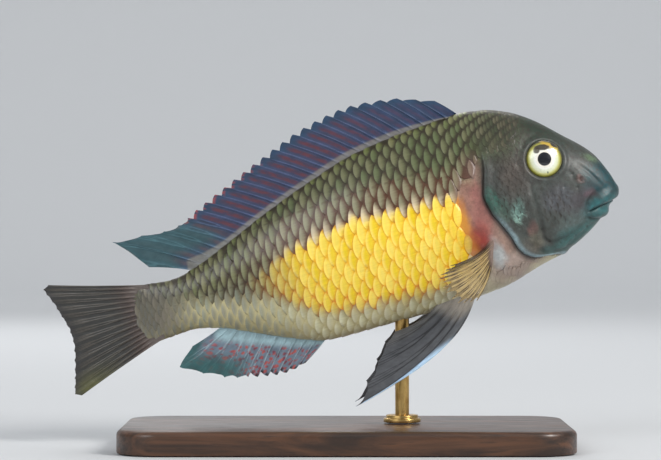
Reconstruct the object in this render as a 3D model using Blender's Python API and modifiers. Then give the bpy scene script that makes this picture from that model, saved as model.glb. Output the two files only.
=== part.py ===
# A life-size model of a Tropheus cichlid, nose up and tail curved to its left, on a stand with one rod.
# Sizes are in millimetres in the fish's own straight frame, and meshes are built in metres.
# u is the distance behind the snout, side is positive to the fish's left, h is the height over the body axis.

import math

import bmesh
import bpy
import numpy as np
from mathutils import Matrix, Vector

MM = 0.001
GAP = 0.3

# Body
BODY_LENGTH = 104.3
BACK_LINE = (
    (0.2, -5.6), (0.6, -3.9), (1.0, -2.4), (3.0, 2.4), (8.4, 8.5), (13.5, 13.6), (18.1, 16.8),
    (23.0, 18.7), (28.4, 19.6), (40.0, 19.4), (51.4, 18.4), (62.0, 15.8), (73.2, 12.3), (82.7, 8.8),
    (90.4, 6.1), (97.0, 4.7), (104.3, 5.5),
)
BELLY_LINE = (
    (0.2, -6.4), (0.6, -7.1), (1.0, -7.6), (3.0, -9.2), (5.4, -11.2), (9.9, -13.8), (16.4, -16.3),
    (20.0, -16.9), (30.9, -19.2), (42.4, -19.5), (53.6, -19.1), (64.7, -18.7), (69.6, -18.2),
    (75.1, -16.2), (82.9, -12.5), (91.0, -8.6), (97.0, -7.2), (104.3, -7.4),
)
HALF_WIDTH = (
    (0.2, 1.3), (0.6, 2.6), (1.0, 3.3), (3.0, 4.7), (6.0, 5.9), (10.0, 6.9), (15.0, 7.8), (22.0, 8.6),
    (30.0, 8.9), (40.0, 9.0), (50.0, 8.6), (60.0, 7.7), (70.0, 6.3), (80.0, 4.7), (90.0, 3.4),
    (98.0, 2.3), (104.3, 1.2),
)
WIDEST_LINE = ((0.2, -6.0), (5.0, -3.6), (12.0, -2.0), (25.0, -1.5), (60.0, -1.0), (104.3, -0.9))
BACK_SHARPNESS = ((0.2, 0.85), (12.0, 0.95), (28.0, 1.15), (60.0, 1.3), (104.3, 1.15))
BELLY_SHARPNESS = ((0.2, 0.85), (20.0, 0.9), (60.0, 0.95), (80.0, 1.1), (104.3, 1.15))
SNOUT_STATIONS = (0.2, 0.6, 1.2)
HEAD_START = 2.0
HEAD_STEP = 1.25
TRUNK_STEP = 2.8
HEAD_LENGTH = 30.0
HEAD_OVERLAP = 9.0
RING_POINTS = 36
# The trunk is tucked in under the rear edge of the gill covers
TUCK_DEPTH = ((0.2, 0.55), (27.0, 0.55), (36.0, 0.0), (104.3, 0.0))

# Seams
GILL_LINE = (
    (25.3, 30.0), (25.4, 19.0), (26.0, 12.9), (26.5, 7.4), (27.7, 3.5), (28.5, 0.6), (28.0, -2.9),
    (26.8, -5.9), (25.5, -9.3), (24.8, -12.0), (23.4, -13.9), (21.6, -14.9), (19.4, -15.3), (17.2, -15.6),
    (14.6, -17.0), (11.0, -21.0),
)
GILL_STEPS = 2
TAIL_SEAM = 94.0

# Head features
EYE_CENTRE = (13.3, 4.3)
EYE_RADIUS = 4.35
EYE_DEPTH_RADIUS = 1.9
EYE_STANDS_OUT = 0.95
EYE_TILT_UP = 12.0
EYE_TILT_FORWARD = 9.0
ORBIT_RIM_REACH = 4.3
ORBIT_RIM_RADIUS = 0.5
ORBIT_RIM_STEPS = 24
# Each lip from the corner of the mouth to its middle: u, side and h, then its radii
UPPER_LIP = ((7.8, 4.7, -8.7), (6.5, 4.6, -8.2), (5.1, 4.3, -7.7), (3.3, 3.3, -7.1), (1.85, 0.0, -6.6))
UPPER_LIP_RADIUS = (0.45, 0.85, 1.2, 1.55, 1.8)
LOWER_LIP = ((8.0, 4.5, -9.8), (7.0, 4.0, -10.0), (5.8, 3.1, -10.1), (4.7, 0.0, -9.9))
LOWER_LIP_RADIUS = (0.4, 0.75, 1.0, 1.15)
LIP_STEPS = 3
MOUTH_SLIT = 0.4
MOUTH_DEPTH = 8.0
MOUTH_HEIGHT = -8.45
MOUTH_SLOPE = -5.0
NOSTRIL = (6.7, -2.2)
NOSTRIL_RADIUS = 0.45
NOSTRIL_DEPTH = 1.2
NOSTRIL_RIM_RADIUS = 0.93
NOSTRIL_RIM_HEIGHT = 0.45
CHEEK_GROOVE = ((17.6, 3.0), (17.9, -1.6), (18.4, -6.5), (19.0, -10.5), (17.6, -13.6), (13.6, -13.4))
CHEEK_GROOVE_RADIUS = 0.45
CHEEK_GROOVE_STEPS = 12

# Fins: thickness of a ray at its root and tip, of the membrane, and of the flesh at the root
RAY_THICK = 1.0
TIP_THICK = 0.6
MEMBRANE_THICK = 0.52
ROOT_THICK = 1.5
PAIRED_ROOT_THICK = 1.0
# Share of a ray along which the fleshy root thins out
ROOT_FLARE = 0.3
# Width of a ridge on each side of its ray, as a share of the space between rays
RAY_SHOULDER = 0.22
# How much shorter the membrane is than its rays: between spines and between soft rays
SPINE_NOTCH = 0.13
SOFT_NOTCH = 0.05
# Bow of a ray in a median fin, as a share of its length
RAY_BOW = 0.06
ROOT_SINK = 2.2
# Places along a ray, from root to tip, where a fin's sheet has its points
MEDIAN_SHARES = (0.0, 0.25, 0.42, 0.7, 1.0)
TAIL_SHARES = (0.0, 0.14, 0.32, 0.5, 0.68, 0.85, 1.0)
PELVIC_SHARES = (0.0, 0.12, 0.28, 0.46, 0.64, 0.82, 1.0)
PECTORAL_SHARES = (0.0, 0.2, 0.4, 0.6, 0.8, 1.0)

DORSAL_SPINES = 21
DORSAL_SOFT_RAYS = 6
DORSAL_START = 28.4
DORSAL_END = 93.3
# Share of the base, and how far the ray's tip lies behind and above its root
DORSAL_REACH = (
    (0.0, 3.4, 4.0), (0.1, 6.5, 7.6), (0.22, 8.6, 8.9), (0.46, 9.7, 7.6), (0.69, 9.5, 6.8),
    (0.85, 9.3, 6.7), (0.92, 12.2, 8.8), (0.96, 16.6, 10.3), (0.98, 12.6, 7.6), (1.0, 8.2, 3.4),
)

ANAL_SPINES = 6
ANAL_SOFT_RAYS = 6
ANAL_START = 70.2
ANAL_END = 91.2
ANAL_REACH = (
    (0.0, 5.3, -3.2), (0.2, 6.0, -5.6), (0.45, 6.4, -7.0), (0.7, 7.4, -8.0), (0.86, 11.0, -6.0),
    (0.94, 13.0, -3.8), (1.0, 6.6, -2.0),
)

TAIL_RAYS = 16
TAIL_ROOT = ((0.0, 5.1), (1.0, -6.9))
TAIL_FIN_START = 102.6
TAIL_BEND = 9.0
TAIL_FAN = 0.36
# Share from the upper edge to the lower, and the tip's place
TAIL_TIPS = (
    (0.0, 123.8, 11.8), (0.06, 125.0, 11.2), (0.25, 123.6, 6.6), (0.5, 122.2, -0.6), (0.75, 124.0, -8.0),
    (0.94, 125.6, -12.8), (1.0, 124.2, -13.4),
)

# Paired fins: root, bend and tip of the first and last rays and of some between, on the right side
PELVIC_ROWS = (
    ((35.7, -3.2, -17.4), (41.2, -5.6, -27.7), (59.0, -8.0, -30.9)),
    ((36.9, -3.1, -17.4), (45.6, -5.8, -28.9), (68.4, -8.6, -33.1)),
    ((38.2, -3.0, -17.4), (47.2, -5.6, -27.4), (64.4, -8.0, -29.4)),
    ((39.8, -2.9, -17.4), (48.2, -5.3, -24.6), (61.0, -7.2, -25.6)),
    ((41.6, -2.8, -17.4), (49.0, -5.0, -22.4), (58.0, -6.5, -22.5)),
    ((43.4, -2.6, -17.4), (49.4, -4.7, -20.9), (55.2, -5.8, -20.6)),
)
PECTORAL_RAYS = 12
PECTORAL_ROWS = (
    ((29.0, -6.4, -7.9), (33.1, -17.0, -11.0), (40.4, -23.5, -10.5)),
    ((29.5, -6.4, -9.0), (33.3, -16.7, -12.8), (43.6, -22.8, -12.2)),
    ((30.1, -6.4, -10.1), (33.5, -15.9, -14.4), (43.2, -21.2, -15.0)),
    ((30.6, -6.4, -11.1), (33.4, -14.8, -15.8), (40.8, -17.8, -18.7)),
    ((31.1, -6.4, -12.0), (33.0, -13.4, -16.9), (37.1, -14.2, -19.5)),
)

# Pose and stand
BODY_MIDDLE = 52.0
PITCH = 18.0
TAIL_SWEEP_START = 50.0
TAIL_SWEEP = 8.0
TAIL_SWEEP_END = 125.0
FISH_FORWARD = 7.0
FISH_HEIGHT = 45.5
BASE_LENGTH = 96.0
BASE_WIDTH = 52.0
BASE_THICK = 5.0
BASE_CORNER = 9.0
BASE_CORNER_STEPS = 6
BASE_EDGE = 1.2
ROD_FORWARD = 12.0
ROD_RADIUS = 1.5
COLLAR_RADIUS = 4.0
COLLAR_HEIGHT = 1.6

SHARP_ANGLE = 40.0
SKIN_COLOUR = (0.16, 0.14, 0.11)
FLANK_COLOUR = (0.72, 0.50, 0.10)
TAIL_COLOUR = (0.25, 0.23, 0.20)
FIN_COLOUR = (0.20, 0.16, 0.28)
DARK_FIN_COLOUR = (0.10, 0.10, 0.11)
EYE_COLOUR = (0.80, 0.82, 0.66)
WOOD_COLOUR = (0.10, 0.06, 0.04)
BRASS_COLOUR = (0.70, 0.52, 0.25)


def clear_scene():
    for item in list(bpy.data.objects):
        bpy.data.objects.remove(item, do_unlink=True)


def smooth(knots, x, column=1):
    """Value at x of a smooth curve through knots, whose first column is x."""
    xs = [k[0] for k in knots]
    ys = [k[column] for k in knots]
    x = min(max(x, xs[0]), xs[-1])
    i = min(max(np.searchsorted(xs, x) - 1, 0), len(xs) - 2)
    slopes = [(ys[j + 1] - ys[j]) / (xs[j + 1] - xs[j]) for j in range(len(xs) - 1)]

    def tangent(j):
        if j == 0:
            return slopes[0]
        if j == len(xs) - 1:
            return slopes[-1]
        a, b = slopes[j - 1], slopes[j]
        return 0.0 if a * b <= 0 else 2 * a * b / (a + b)

    span = xs[i + 1] - xs[i]
    t = (x - xs[i]) / span
    return (
        (2 * t**3 - 3 * t**2 + 1) * ys[i]
        + (t**3 - 2 * t**2 + t) * span * tangent(i)
        + (3 * t**2 - 2 * t**3) * ys[i + 1]
        + (t**3 - t**2) * span * tangent(i + 1)
    )


def place(u, side, h):
    """A point of the straight fish, in metres."""
    return Vector(((BODY_MIDDLE - u) * MM, side * MM, h * MM))


def posed(point):
    """Where a point of the straight fish lies once its tail is curved and its nose is up."""
    behind = (BODY_MIDDLE - TAIL_SWEEP_START) * MM - point.x
    reach = (TAIL_SWEEP_END - TAIL_SWEEP_START) * MM
    sweep = TAIL_SWEEP * MM * (max(behind, 0.0) / reach) ** 2
    turn = Matrix.Rotation(math.radians(-PITCH), 4, "Y")
    moved = turn @ Vector((point.x, point.y + sweep, point.z))
    return moved + Vector((FISH_FORWARD, 0.0, FISH_HEIGHT)) * MM


def section(u, angle, tuck):
    """A point of the skin at u, with angle 0 at the left side and a quarter turn at the back."""
    top, bottom = smooth(BACK_LINE, u), smooth(BELLY_LINE, u)
    middle = smooth(WIDEST_LINE, u)
    width = smooth(HALF_WIDTH, u) - (smooth(TUCK_DEPTH, u) if tuck else 0.0)
    sharp = smooth(BACK_SHARPNESS if angle <= math.pi else BELLY_SHARPNESS, u)
    across, up = math.cos(angle), math.sin(angle)
    side = width * math.copysign(abs(across) ** sharp, across)
    return place(u, side, middle + ((top - middle) if up > 0 else (middle - bottom)) * up)


def skin_side(u, h):
    """Half the body's width at u and height h, without the tuck."""
    top, bottom = smooth(BACK_LINE, u), smooth(BELLY_LINE, u)
    middle = smooth(WIDEST_LINE, u)
    up = (h - middle) / ((top - middle) if h > middle else (middle - bottom))
    sharp = smooth(BACK_SHARPNESS if h > middle else BELLY_SHARPNESS, u)
    return smooth(HALF_WIDTH, u) * math.sqrt(max(0.0, 1 - up * up)) ** sharp


def collection_of(name):
    if name not in bpy.data.collections:
        bpy.context.scene.collection.children.link(bpy.data.collections.new(name))
    return bpy.data.collections[name]


def object_of(name, shape):
    made = bpy.data.objects.new(name, shape)
    collection_of("tropheus_cichlid").objects.link(made)
    return made


def as_cutter(item):
    """Moves a helper shape out of the model, to the collection of cutters."""
    collection_of("tropheus_cichlid").objects.unlink(item)
    collection_of("cutters").objects.link(item)
    item.hide_render = True
    item.display_type = "WIRE"


def mesh_from(bm, name):
    bmesh.ops.recalc_face_normals(bm, faces=bm.faces)
    mesh = bpy.data.meshes.new(name)
    bm.to_mesh(mesh)
    bm.free()
    return mesh


def body_stations():
    near = np.concatenate([SNOUT_STATIONS, np.arange(HEAD_START, HEAD_LENGTH, HEAD_STEP)])
    far = np.linspace(HEAD_LENGTH, BODY_LENGTH, round((BODY_LENGTH - HEAD_LENGTH) / TRUNK_STEP) + 1)
    return [float(u) for u in np.concatenate([near, far])]


def body_loft(name, tuck, last=BODY_LENGTH, grow=0.0):
    """The body as one closed skin from the snout to a station, or a skin that stands off it by grow."""
    bm = bmesh.new()
    rings = []
    for u in [station for station in body_stations() if station <= last]:
        angles = [2 * math.pi * k / RING_POINTS for k in range(RING_POINTS)]
        rings.append([bm.verts.new(section(u, a, tuck)) for a in angles])
    for ahead, behind in zip(rings, rings[1:]):
        for k in range(RING_POINTS):
            n = (k + 1) % RING_POINTS
            bm.faces.new((ahead[k], ahead[n], behind[n], behind[k]))
    bm.faces.new(rings[0])
    bm.faces.new(rings[-1])
    made = object_of(name, mesh_from(bm, name))
    if grow:
        swell = made.modifiers.new("stand_off", "DISPLACE")
        swell.mid_level = 0.0
        swell.strength = grow * MM
        apply_modifiers(made)
    return made


def apply_modifiers(item):
    bpy.context.view_layer.update()
    graph = bpy.context.evaluated_depsgraph_get()
    mesh = bpy.data.meshes.new_from_object(item.evaluated_get(graph))
    mesh.name = item.name
    if item.type == "MESH":
        item.modifiers.clear()
        item.data = mesh
        return item
    made = object_of(item.name + "_mesh", mesh)
    mesh.transform(item.matrix_world)
    bpy.data.objects.remove(item, do_unlink=True)
    bm = bmesh.new()
    bm.from_mesh(mesh)
    bmesh.ops.remove_doubles(bm, verts=bm.verts, dist=1e-6)
    bmesh.ops.recalc_face_normals(bm, faces=bm.faces)
    bm.to_mesh(mesh)
    bm.free()
    return made


def keep_largest(item):
    """Keeps only the largest closed surface of a mesh, and splits its faces into triangles."""
    bm = bmesh.new()
    bm.from_mesh(item.data)
    bmesh.ops.remove_doubles(bm, verts=bm.verts, dist=2e-7)
    bmesh.ops.triangulate(bm, faces=bm.faces)
    left, shells = set(bm.faces), []
    while left:
        shell, edge = set(), [next(iter(left))]
        while edge:
            face = edge.pop()
            if face in shell:
                continue
            shell.add(face)
            edge.extend(f for e in face.edges for f in e.link_faces if f not in shell)
        left -= shell
        shells.append(shell)
    largest = max(shells, key=lambda shell: sum(f.calc_area() for f in shell))
    spare = [f for shell in shells if shell is not largest for f in shell]
    bmesh.ops.delete(bm, geom=spare, context="FACES")
    bm.to_mesh(item.data)
    bm.free()
    return item


def boolean(item, operation, others):
    """Cuts, joins or crosses item with the other closed meshes in one Boolean, and removes them."""
    for other in others:
        as_cutter(other)
    step = item.modifiers.new(operation.lower(), "BOOLEAN")
    step.operation = operation
    step.operand_type = "COLLECTION"
    step.collection = collection_of("cutters")
    step.solver = "EXACT"
    apply_modifiers(item)
    for other in others:
        bpy.data.objects.remove(other, do_unlink=True)
    return keep_largest(item)


def tube(name, points, radii, resolution=2, closed=False):
    """A round bar through the points, in metres, with its own radius at each, in millimetres."""
    curve = bpy.data.curves.new(name, "CURVE")
    curve.dimensions = "3D"
    curve.bevel_depth = MM
    curve.bevel_resolution = resolution
    curve.use_fill_caps = not closed
    line = curve.splines.new("POLY")
    line.points.add(len(points) - 1)
    line.use_cyclic_u = closed
    for spot, point, radius in zip(line.points, points, radii):
        spot.co = (*point, 1.0)
        spot.radius = radius
    return apply_modifiers(object_of(name, curve))


def side_slab(name, outline, half_depth=40.0):
    """A flat outline of (u, h) points, as thick as the whole fish."""
    curve = bpy.data.curves.new(name, "CURVE")
    curve.dimensions = "2D"
    curve.fill_mode = "BOTH"
    curve.extrude = half_depth * MM
    line = curve.splines.new("POLY")
    line.points.add(len(outline) - 1)
    line.use_cyclic_u = True
    for spot, (u, h) in zip(line.points, outline):
        spot.co = ((BODY_MIDDLE - u) * MM, h * MM, 0.0, 1.0)
    slab = object_of(name, curve)
    slab.rotation_euler = (math.pi / 2, 0.0, 0.0)
    return apply_modifiers(slab)


def beside(line, distance):
    """The line moved sideways by distance, to its rear when that is positive."""
    points = [Vector(p) for p in line]
    moved = []
    for i, point in enumerate(points):
        along = (points[min(i + 1, len(points) - 1)] - points[max(i - 1, 0)]).normalized()
        moved.append(point + Vector((-along.y, along.x)) * distance)
    return [tuple(p) for p in moved]


def ellipsoid(name, radii, turn, centre, segments=24, rings=12):
    bm = bmesh.new()
    bmesh.ops.create_uvsphere(bm, u_segments=segments, v_segments=rings, radius=1.0)
    bmesh.ops.rotate(bm, verts=bm.verts, matrix=Matrix.Rotation(math.pi / 2, 3, "X"))
    bmesh.ops.scale(bm, verts=bm.verts, vec=Vector(radii) * MM)
    bmesh.ops.transform(bm, verts=bm.verts, matrix=Matrix.Translation(centre) @ turn)
    return object_of(name, mesh_from(bm, name))


def eye_frame(side):
    """How the eye on one side is turned, and its centre. side is 1 on the left and -1 on the right."""
    u, h = EYE_CENTRE
    turn = Matrix.Rotation(math.radians(side * EYE_TILT_UP), 4, "X")
    turn = Matrix.Rotation(math.radians(-side * EYE_TILT_FORWARD), 4, "Z") @ turn
    out = turn @ Vector((0.0, side, 0.0))
    face = place(u, side * skin_side(u, h), h)
    return turn, face + out * (EYE_STANDS_OUT - EYE_DEPTH_RADIUS) * MM


def eye(name, side, grow=0.0):
    turn, centre = eye_frame(side)
    radii = (EYE_RADIUS + grow, EYE_DEPTH_RADIUS + grow, EYE_RADIUS + grow)
    return ellipsoid(name, radii, turn, centre)


def orbit_rim(side):
    """The soft ring of skin round the eye, laid on the side of the head."""
    ring = []
    for k in range(ORBIT_RIM_STEPS):
        angle = 2 * math.pi * k / ORBIT_RIM_STEPS
        u = EYE_CENTRE[0] + ORBIT_RIM_REACH * math.cos(angle)
        h = EYE_CENTRE[1] + ORBIT_RIM_REACH * math.sin(angle)
        ring.append(place(u, side * skin_side(u, h), h))
    return tube("orbit_rim", ring, [ORBIT_RIM_RADIUS] * ORBIT_RIM_STEPS, 1, closed=True)


def lip(name, knots, radii):
    """A lip as one round bar from the left corner of the mouth to the right one."""
    whole = [*knots, *[(u, -side, h) for u, side, h in reversed(knots[:-1])]]
    thick = [*radii, *reversed(radii[:-1])]
    rows = [(i, *knot, radius) for i, (knot, radius) in enumerate(zip(whole, thick))]
    line = []
    for step in range((len(whole) - 1) * LIP_STEPS + 1):
        line.append([smooth(rows, step / LIP_STEPS, column) for column in (1, 2, 3, 4)])
    return tube(name, [place(*spot[:3]) for spot in line], [spot[3] for spot in line])


def mouth_slit():
    """The thin gap between the lips, open at the front and sides."""
    bm = bmesh.new()
    bmesh.ops.create_cube(bm, size=1.0)
    depth, wide = MOUTH_DEPTH + 4.0, 30.0
    bmesh.ops.scale(bm, verts=bm.verts, vec=Vector((depth, wide, MOUTH_SLIT)) * MM)
    turn = Matrix.Rotation(math.radians(MOUTH_SLOPE), 4, "Y")
    centre = place(MOUTH_DEPTH - depth / 2, 0.0, MOUTH_HEIGHT)
    bmesh.ops.transform(bm, verts=bm.verts, matrix=Matrix.Translation(centre) @ turn)
    return object_of("mouth_slit", mesh_from(bm, "mouth_slit"))


def nostril(side, rim):
    """The pit of a nostril, or the raised ring round it."""
    u, h = NOSTRIL
    centre = place(u, side * skin_side(u, h), h)
    if rim:
        radii = (NOSTRIL_RIM_RADIUS, NOSTRIL_RIM_HEIGHT, NOSTRIL_RIM_RADIUS)
        return ellipsoid("nostril_rim", radii, Matrix.Identity(4), centre, 12, 6)
    radii = (NOSTRIL_RADIUS, NOSTRIL_DEPTH, NOSTRIL_RADIUS)
    return ellipsoid("nostril_pit", radii, Matrix.Identity(4), centre, 10, 6)


def cheek_groove(side):
    """The furrow at the rear edge of the cheek, which curves forward under it and fades at both ends."""
    rows = [(i, *point) for i, point in enumerate(CHEEK_GROOVE)]
    line, taper = [], []
    for k in range(CHEEK_GROOVE_STEPS + 1):
        share = k / CHEEK_GROOVE_STEPS
        u, h = (smooth(rows, share * (len(rows) - 1), column) for column in (1, 2))
        line.append(place(u, side * (skin_side(u, h) + 0.1), h))
        taper.append(CHEEK_GROOVE_RADIUS * math.sin(math.pi * (0.12 + 0.76 * share)))
    return tube("cheek_groove", line, taper, 1)


def gill_edge(shift):
    """The rear edge of the gill cover from back to throat, moved to its rear by shift."""
    rows = [(i, *point) for i, point in enumerate(GILL_LINE)]
    spots = [k / GILL_STEPS for k in range((len(rows) - 1) * GILL_STEPS + 1)]
    return beside([(smooth(rows, spot, 1), smooth(rows, spot, 2)) for spot in spots], shift)


def head():
    made = body_loft("head", tuck=False, last=HEAD_LENGTH + HEAD_OVERLAP)
    ahead = [(-20.0, 30.0), *gill_edge(-GAP / 2), (-20.0, -22.0)]
    boolean(made, "INTERSECT", [side_slab("head_space", ahead)])
    raised = [lip("upper_lip", UPPER_LIP, UPPER_LIP_RADIUS), lip("lower_lip", LOWER_LIP, LOWER_LIP_RADIUS)]
    raised += [orbit_rim(side) for side in (1, -1)]
    raised += [nostril(side, rim=True) for side in (1, -1)]
    boolean(made, "UNION", raised)
    cut = [mouth_slit()]
    cut += [eye("eye_socket", side, GAP) for side in (1, -1)]
    cut += [nostril(side, rim=False) for side in (1, -1)]
    cut += [cheek_groove(side) for side in (1, -1)]
    return boolean(made, "DIFFERENCE", cut)


def trunk():
    made = body_loft("trunk", tuck=True)
    rear = TAIL_SEAM - GAP / 2
    behind = [*gill_edge(GAP / 2), (rear, -30.0), (rear, 30.0)]
    return boolean(made, "INTERSECT", [side_slab("trunk_space", behind)])


def tail_base():
    made = body_loft("tail_base", tuck=True)
    front = TAIL_SEAM + GAP / 2
    behind = [(front, 30.0), (front, -30.0), (120.0, -30.0), (120.0, 30.0)]
    return boolean(made, "INTERSECT", [side_slab("tail_space", behind)])


def along_ray(ray, share):
    """A point on a ray, which curves from its root past its bend to its tip."""
    root, bend, tip = (Vector(p) for p in ray)
    return root * (1 - share) ** 2 + bend * 2 * share * (1 - share) + tip * share**2


def between(rows, t):
    """The ray at place t among the rows, from 0 at the first to 1 at the last."""
    t = min(max(t, 0.0), 1.0) * (len(rows) - 1)
    ray = []
    for part in range(3):
        ray.append([smooth([(i, row[part][axis]) for i, row in enumerate(rows)], t) for axis in range(3)])
    return ray


def sheet_thickness(share, on_ray, root_thick):
    """How thick a fin is at a share of the way to its tip, on a ray or on the membrane between rays."""
    thick = MEMBRANE_THICK
    if on_ray:
        thick = RAY_THICK + (TIP_THICK - RAY_THICK) * share
    at_root = max(0.0, 1 - share / ROOT_FLARE)
    return max(thick, root_thick * at_root + thick * (1 - at_root))


def fin(name, rays, shares, spines=0, root_thick=ROOT_THICK):
    """A thin sheet with a ridge along each ray. Rays are (root, bend, tip) in the straight frame."""
    places = [i + step for i in range(len(rays)) for step in (-RAY_SHOULDER, 0.0, RAY_SHOULDER)][1:-1]
    bm = bmesh.new()
    columns, thickness = [], []
    for spot in places:
        on_ray = abs(spot - round(spot)) < RAY_SHOULDER / 2
        ray = between(rays, spot / (len(rays) - 1))
        notch = SPINE_NOTCH if round(spot) < spines else SOFT_NOTCH
        reach = 1.0 if on_ray else 1.0 - notch
        columns.append([bm.verts.new(place(*along_ray(ray, share * reach))) for share in shares])
        thickness += [sheet_thickness(share, on_ray, root_thick) for share in shares]
    for left, right in zip(columns, columns[1:]):
        for k in range(len(shares) - 1):
            bm.faces.new((left[k], right[k], right[k + 1]))
            bm.faces.new((left[k], right[k + 1], left[k + 1]))
    made = object_of(name, mesh_from(bm, name))
    weights = made.vertex_groups.new(name="thickness")
    for index, thick in enumerate(thickness):
        weights.add([index], thick / ROOT_THICK, "REPLACE")
    wall = made.modifiers.new("wall", "SOLIDIFY")
    wall.thickness = ROOT_THICK * MM
    wall.offset = 0.0
    wall.vertex_group = "thickness"
    wall.thickness_vertex_group = 0.0
    return apply_modifiers(made)


def rooted(item):
    """Cuts away what of a fin lies in the body, so that it meets the skin with an even gap."""
    return boolean(item, "DIFFERENCE", [body_loft("stand_off", tuck=True, grow=GAP)])


def median_rays(start, end, count, reach, edge):
    """Rays of a fin in the body's middle plane, from roots along the back or belly line."""
    rays = []
    for i in range(count):
        share = i / (count - 1)
        u = start + (end - start) * share
        h = smooth(edge, u)
        back, up = smooth(reach, share, 1), smooth(reach, share, 2)
        sink = ROOT_SINK / math.hypot(back, up)
        root = (u - back * sink, 0.0, h - up * sink)
        tip = (u + back, 0.0, h + up)
        bow = (-up * RAY_BOW, 0.0, back * math.copysign(RAY_BOW, up))
        bend = tuple((a + b) / 2 + c for a, b, c in zip(root, tip, bow))
        rays.append((root, bend, tip))
    return rays


def dorsal_fin():
    count = DORSAL_SPINES + DORSAL_SOFT_RAYS
    rays = median_rays(DORSAL_START, DORSAL_END, count, DORSAL_REACH, BACK_LINE)
    return rooted(fin("dorsal_fin", rays, MEDIAN_SHARES, DORSAL_SPINES))


def anal_fin():
    count = ANAL_SPINES + ANAL_SOFT_RAYS
    rays = median_rays(ANAL_START, ANAL_END, count, ANAL_REACH, BELLY_LINE)
    return rooted(fin("anal_fin", rays, MEDIAN_SHARES, ANAL_SPINES))


def tail_fin():
    rays = []
    for i in range(TAIL_RAYS):
        share = i / (TAIL_RAYS - 1)
        root = (TAIL_FIN_START, 0.0, smooth(TAIL_ROOT, share))
        tip = (smooth(TAIL_TIPS, share, 1), 0.0, smooth(TAIL_TIPS, share, 2))
        bend = (root[0] + TAIL_BEND, 0.0, root[2] + (tip[2] - root[2]) * TAIL_FAN)
        rays.append((root, bend, tip))
    return rooted(fin("tail_fin", rays, TAIL_SHARES))


def mirrored(rays):
    return [tuple((u, -side, h) for u, side, h in ray) for ray in rays]


def pelvic_fin(name, left):
    rays = mirrored(PELVIC_ROWS) if left else PELVIC_ROWS
    return rooted(fin(name, rays, PELVIC_SHARES, 0, PAIRED_ROOT_THICK))


def pectoral_fin(name, left):
    rows = mirrored(PECTORAL_ROWS) if left else PECTORAL_ROWS
    rays = [between(rows, i / (PECTORAL_RAYS - 1)) for i in range(PECTORAL_RAYS)]
    return rooted(fin(name, rays, PECTORAL_SHARES, PECTORAL_RAYS, PAIRED_ROOT_THICK))


def stand_base():
    """A flat board with round corners and a bevelled top edge."""
    curve = bpy.data.curves.new("stand_base", "CURVE")
    curve.dimensions = "2D"
    curve.fill_mode = "BOTH"
    curve.extrude = BASE_THICK / 2 * MM
    line = curve.splines.new("POLY")
    outline = []
    for quarter in range(4):
        right = (BASE_LENGTH / 2 - BASE_CORNER) * (1, -1, -1, 1)[quarter]
        far = (BASE_WIDTH / 2 - BASE_CORNER) * (1, 1, -1, -1)[quarter]
        for k in range(BASE_CORNER_STEPS + 1):
            angle = math.pi / 2 * (quarter + k / BASE_CORNER_STEPS)
            outline.append((right + BASE_CORNER * math.cos(angle), far + BASE_CORNER * math.sin(angle)))
    line.points.add(len(outline) - 1)
    line.use_cyclic_u = True
    for spot, (x, y) in zip(line.points, outline):
        spot.co = (x * MM, y * MM, BASE_THICK / 2 * MM, 1.0)
    board = apply_modifiers(object_of("stand_board", curve))
    board.name = "stand_base"
    bm = bmesh.new()
    bm.from_mesh(board.data)
    top_height = (BASE_THICK - GAP) * MM
    on_top = [e for e in bm.edges if min(v.co.z for v in e.verts) > top_height]
    rim = [e for e in on_top if e.calc_face_angle(0.0) > 1.0]
    bmesh.ops.bevel(bm, geom=rim, offset=BASE_EDGE * MM, segments=2, profile=0.5, affect="EDGES")
    bmesh.ops.triangulate(bm, faces=bm.faces)
    bm.to_mesh(board.data)
    bm.free()
    return board


def rod_piece(name, radius, low, high, segments):
    bm = bmesh.new()
    wide, tall = radius * MM, (high - low) * MM
    bmesh.ops.create_cone(bm, cap_ends=True, segments=segments, radius1=wide, radius2=wide, depth=tall)
    bmesh.ops.translate(bm, verts=bm.verts, vec=Vector((ROD_FORWARD, 0.0, (low + high) / 2)) * MM)
    return object_of(name, mesh_from(bm, name))


def stand_rod():
    """The rod, cut where it meets the belly."""
    made = rod_piece("stand_rod", ROD_RADIUS, BASE_THICK + GAP, FISH_HEIGHT, 20)
    belly = body_loft("belly", tuck=True, grow=GAP)
    pose(belly)
    return boolean(made, "DIFFERENCE", [belly])


def stand_collar():
    """The turned foot that holds the rod on the board."""
    low = BASE_THICK + GAP
    made = rod_piece("stand_collar", COLLAR_RADIUS, low, low + COLLAR_HEIGHT, 28)
    hole = rod_piece("rod_hole", ROD_RADIUS + GAP, low - 1.0, low + COLLAR_HEIGHT + 1.0, 20)
    return boolean(made, "DIFFERENCE", [hole])


def pose(item):
    for vertex in item.data.vertices:
        vertex.co = posed(vertex.co)
    item.data.update()


def finish(item, colour, roughness, metallic=0.0):
    material = bpy.data.materials.new(item.name + "_finish")
    material.use_nodes = True
    shader = material.node_tree.nodes["Principled BSDF"]
    shader.inputs["Base Color"].default_value = (*colour, 1.0)
    shader.inputs["Roughness"].default_value = roughness
    shader.inputs["Metallic"].default_value = metallic
    item.data.materials.clear()
    item.data.materials.append(material)
    item.data.shade_smooth()
    item.data.set_sharp_from_angle(angle=math.radians(SHARP_ANGLE))


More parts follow.
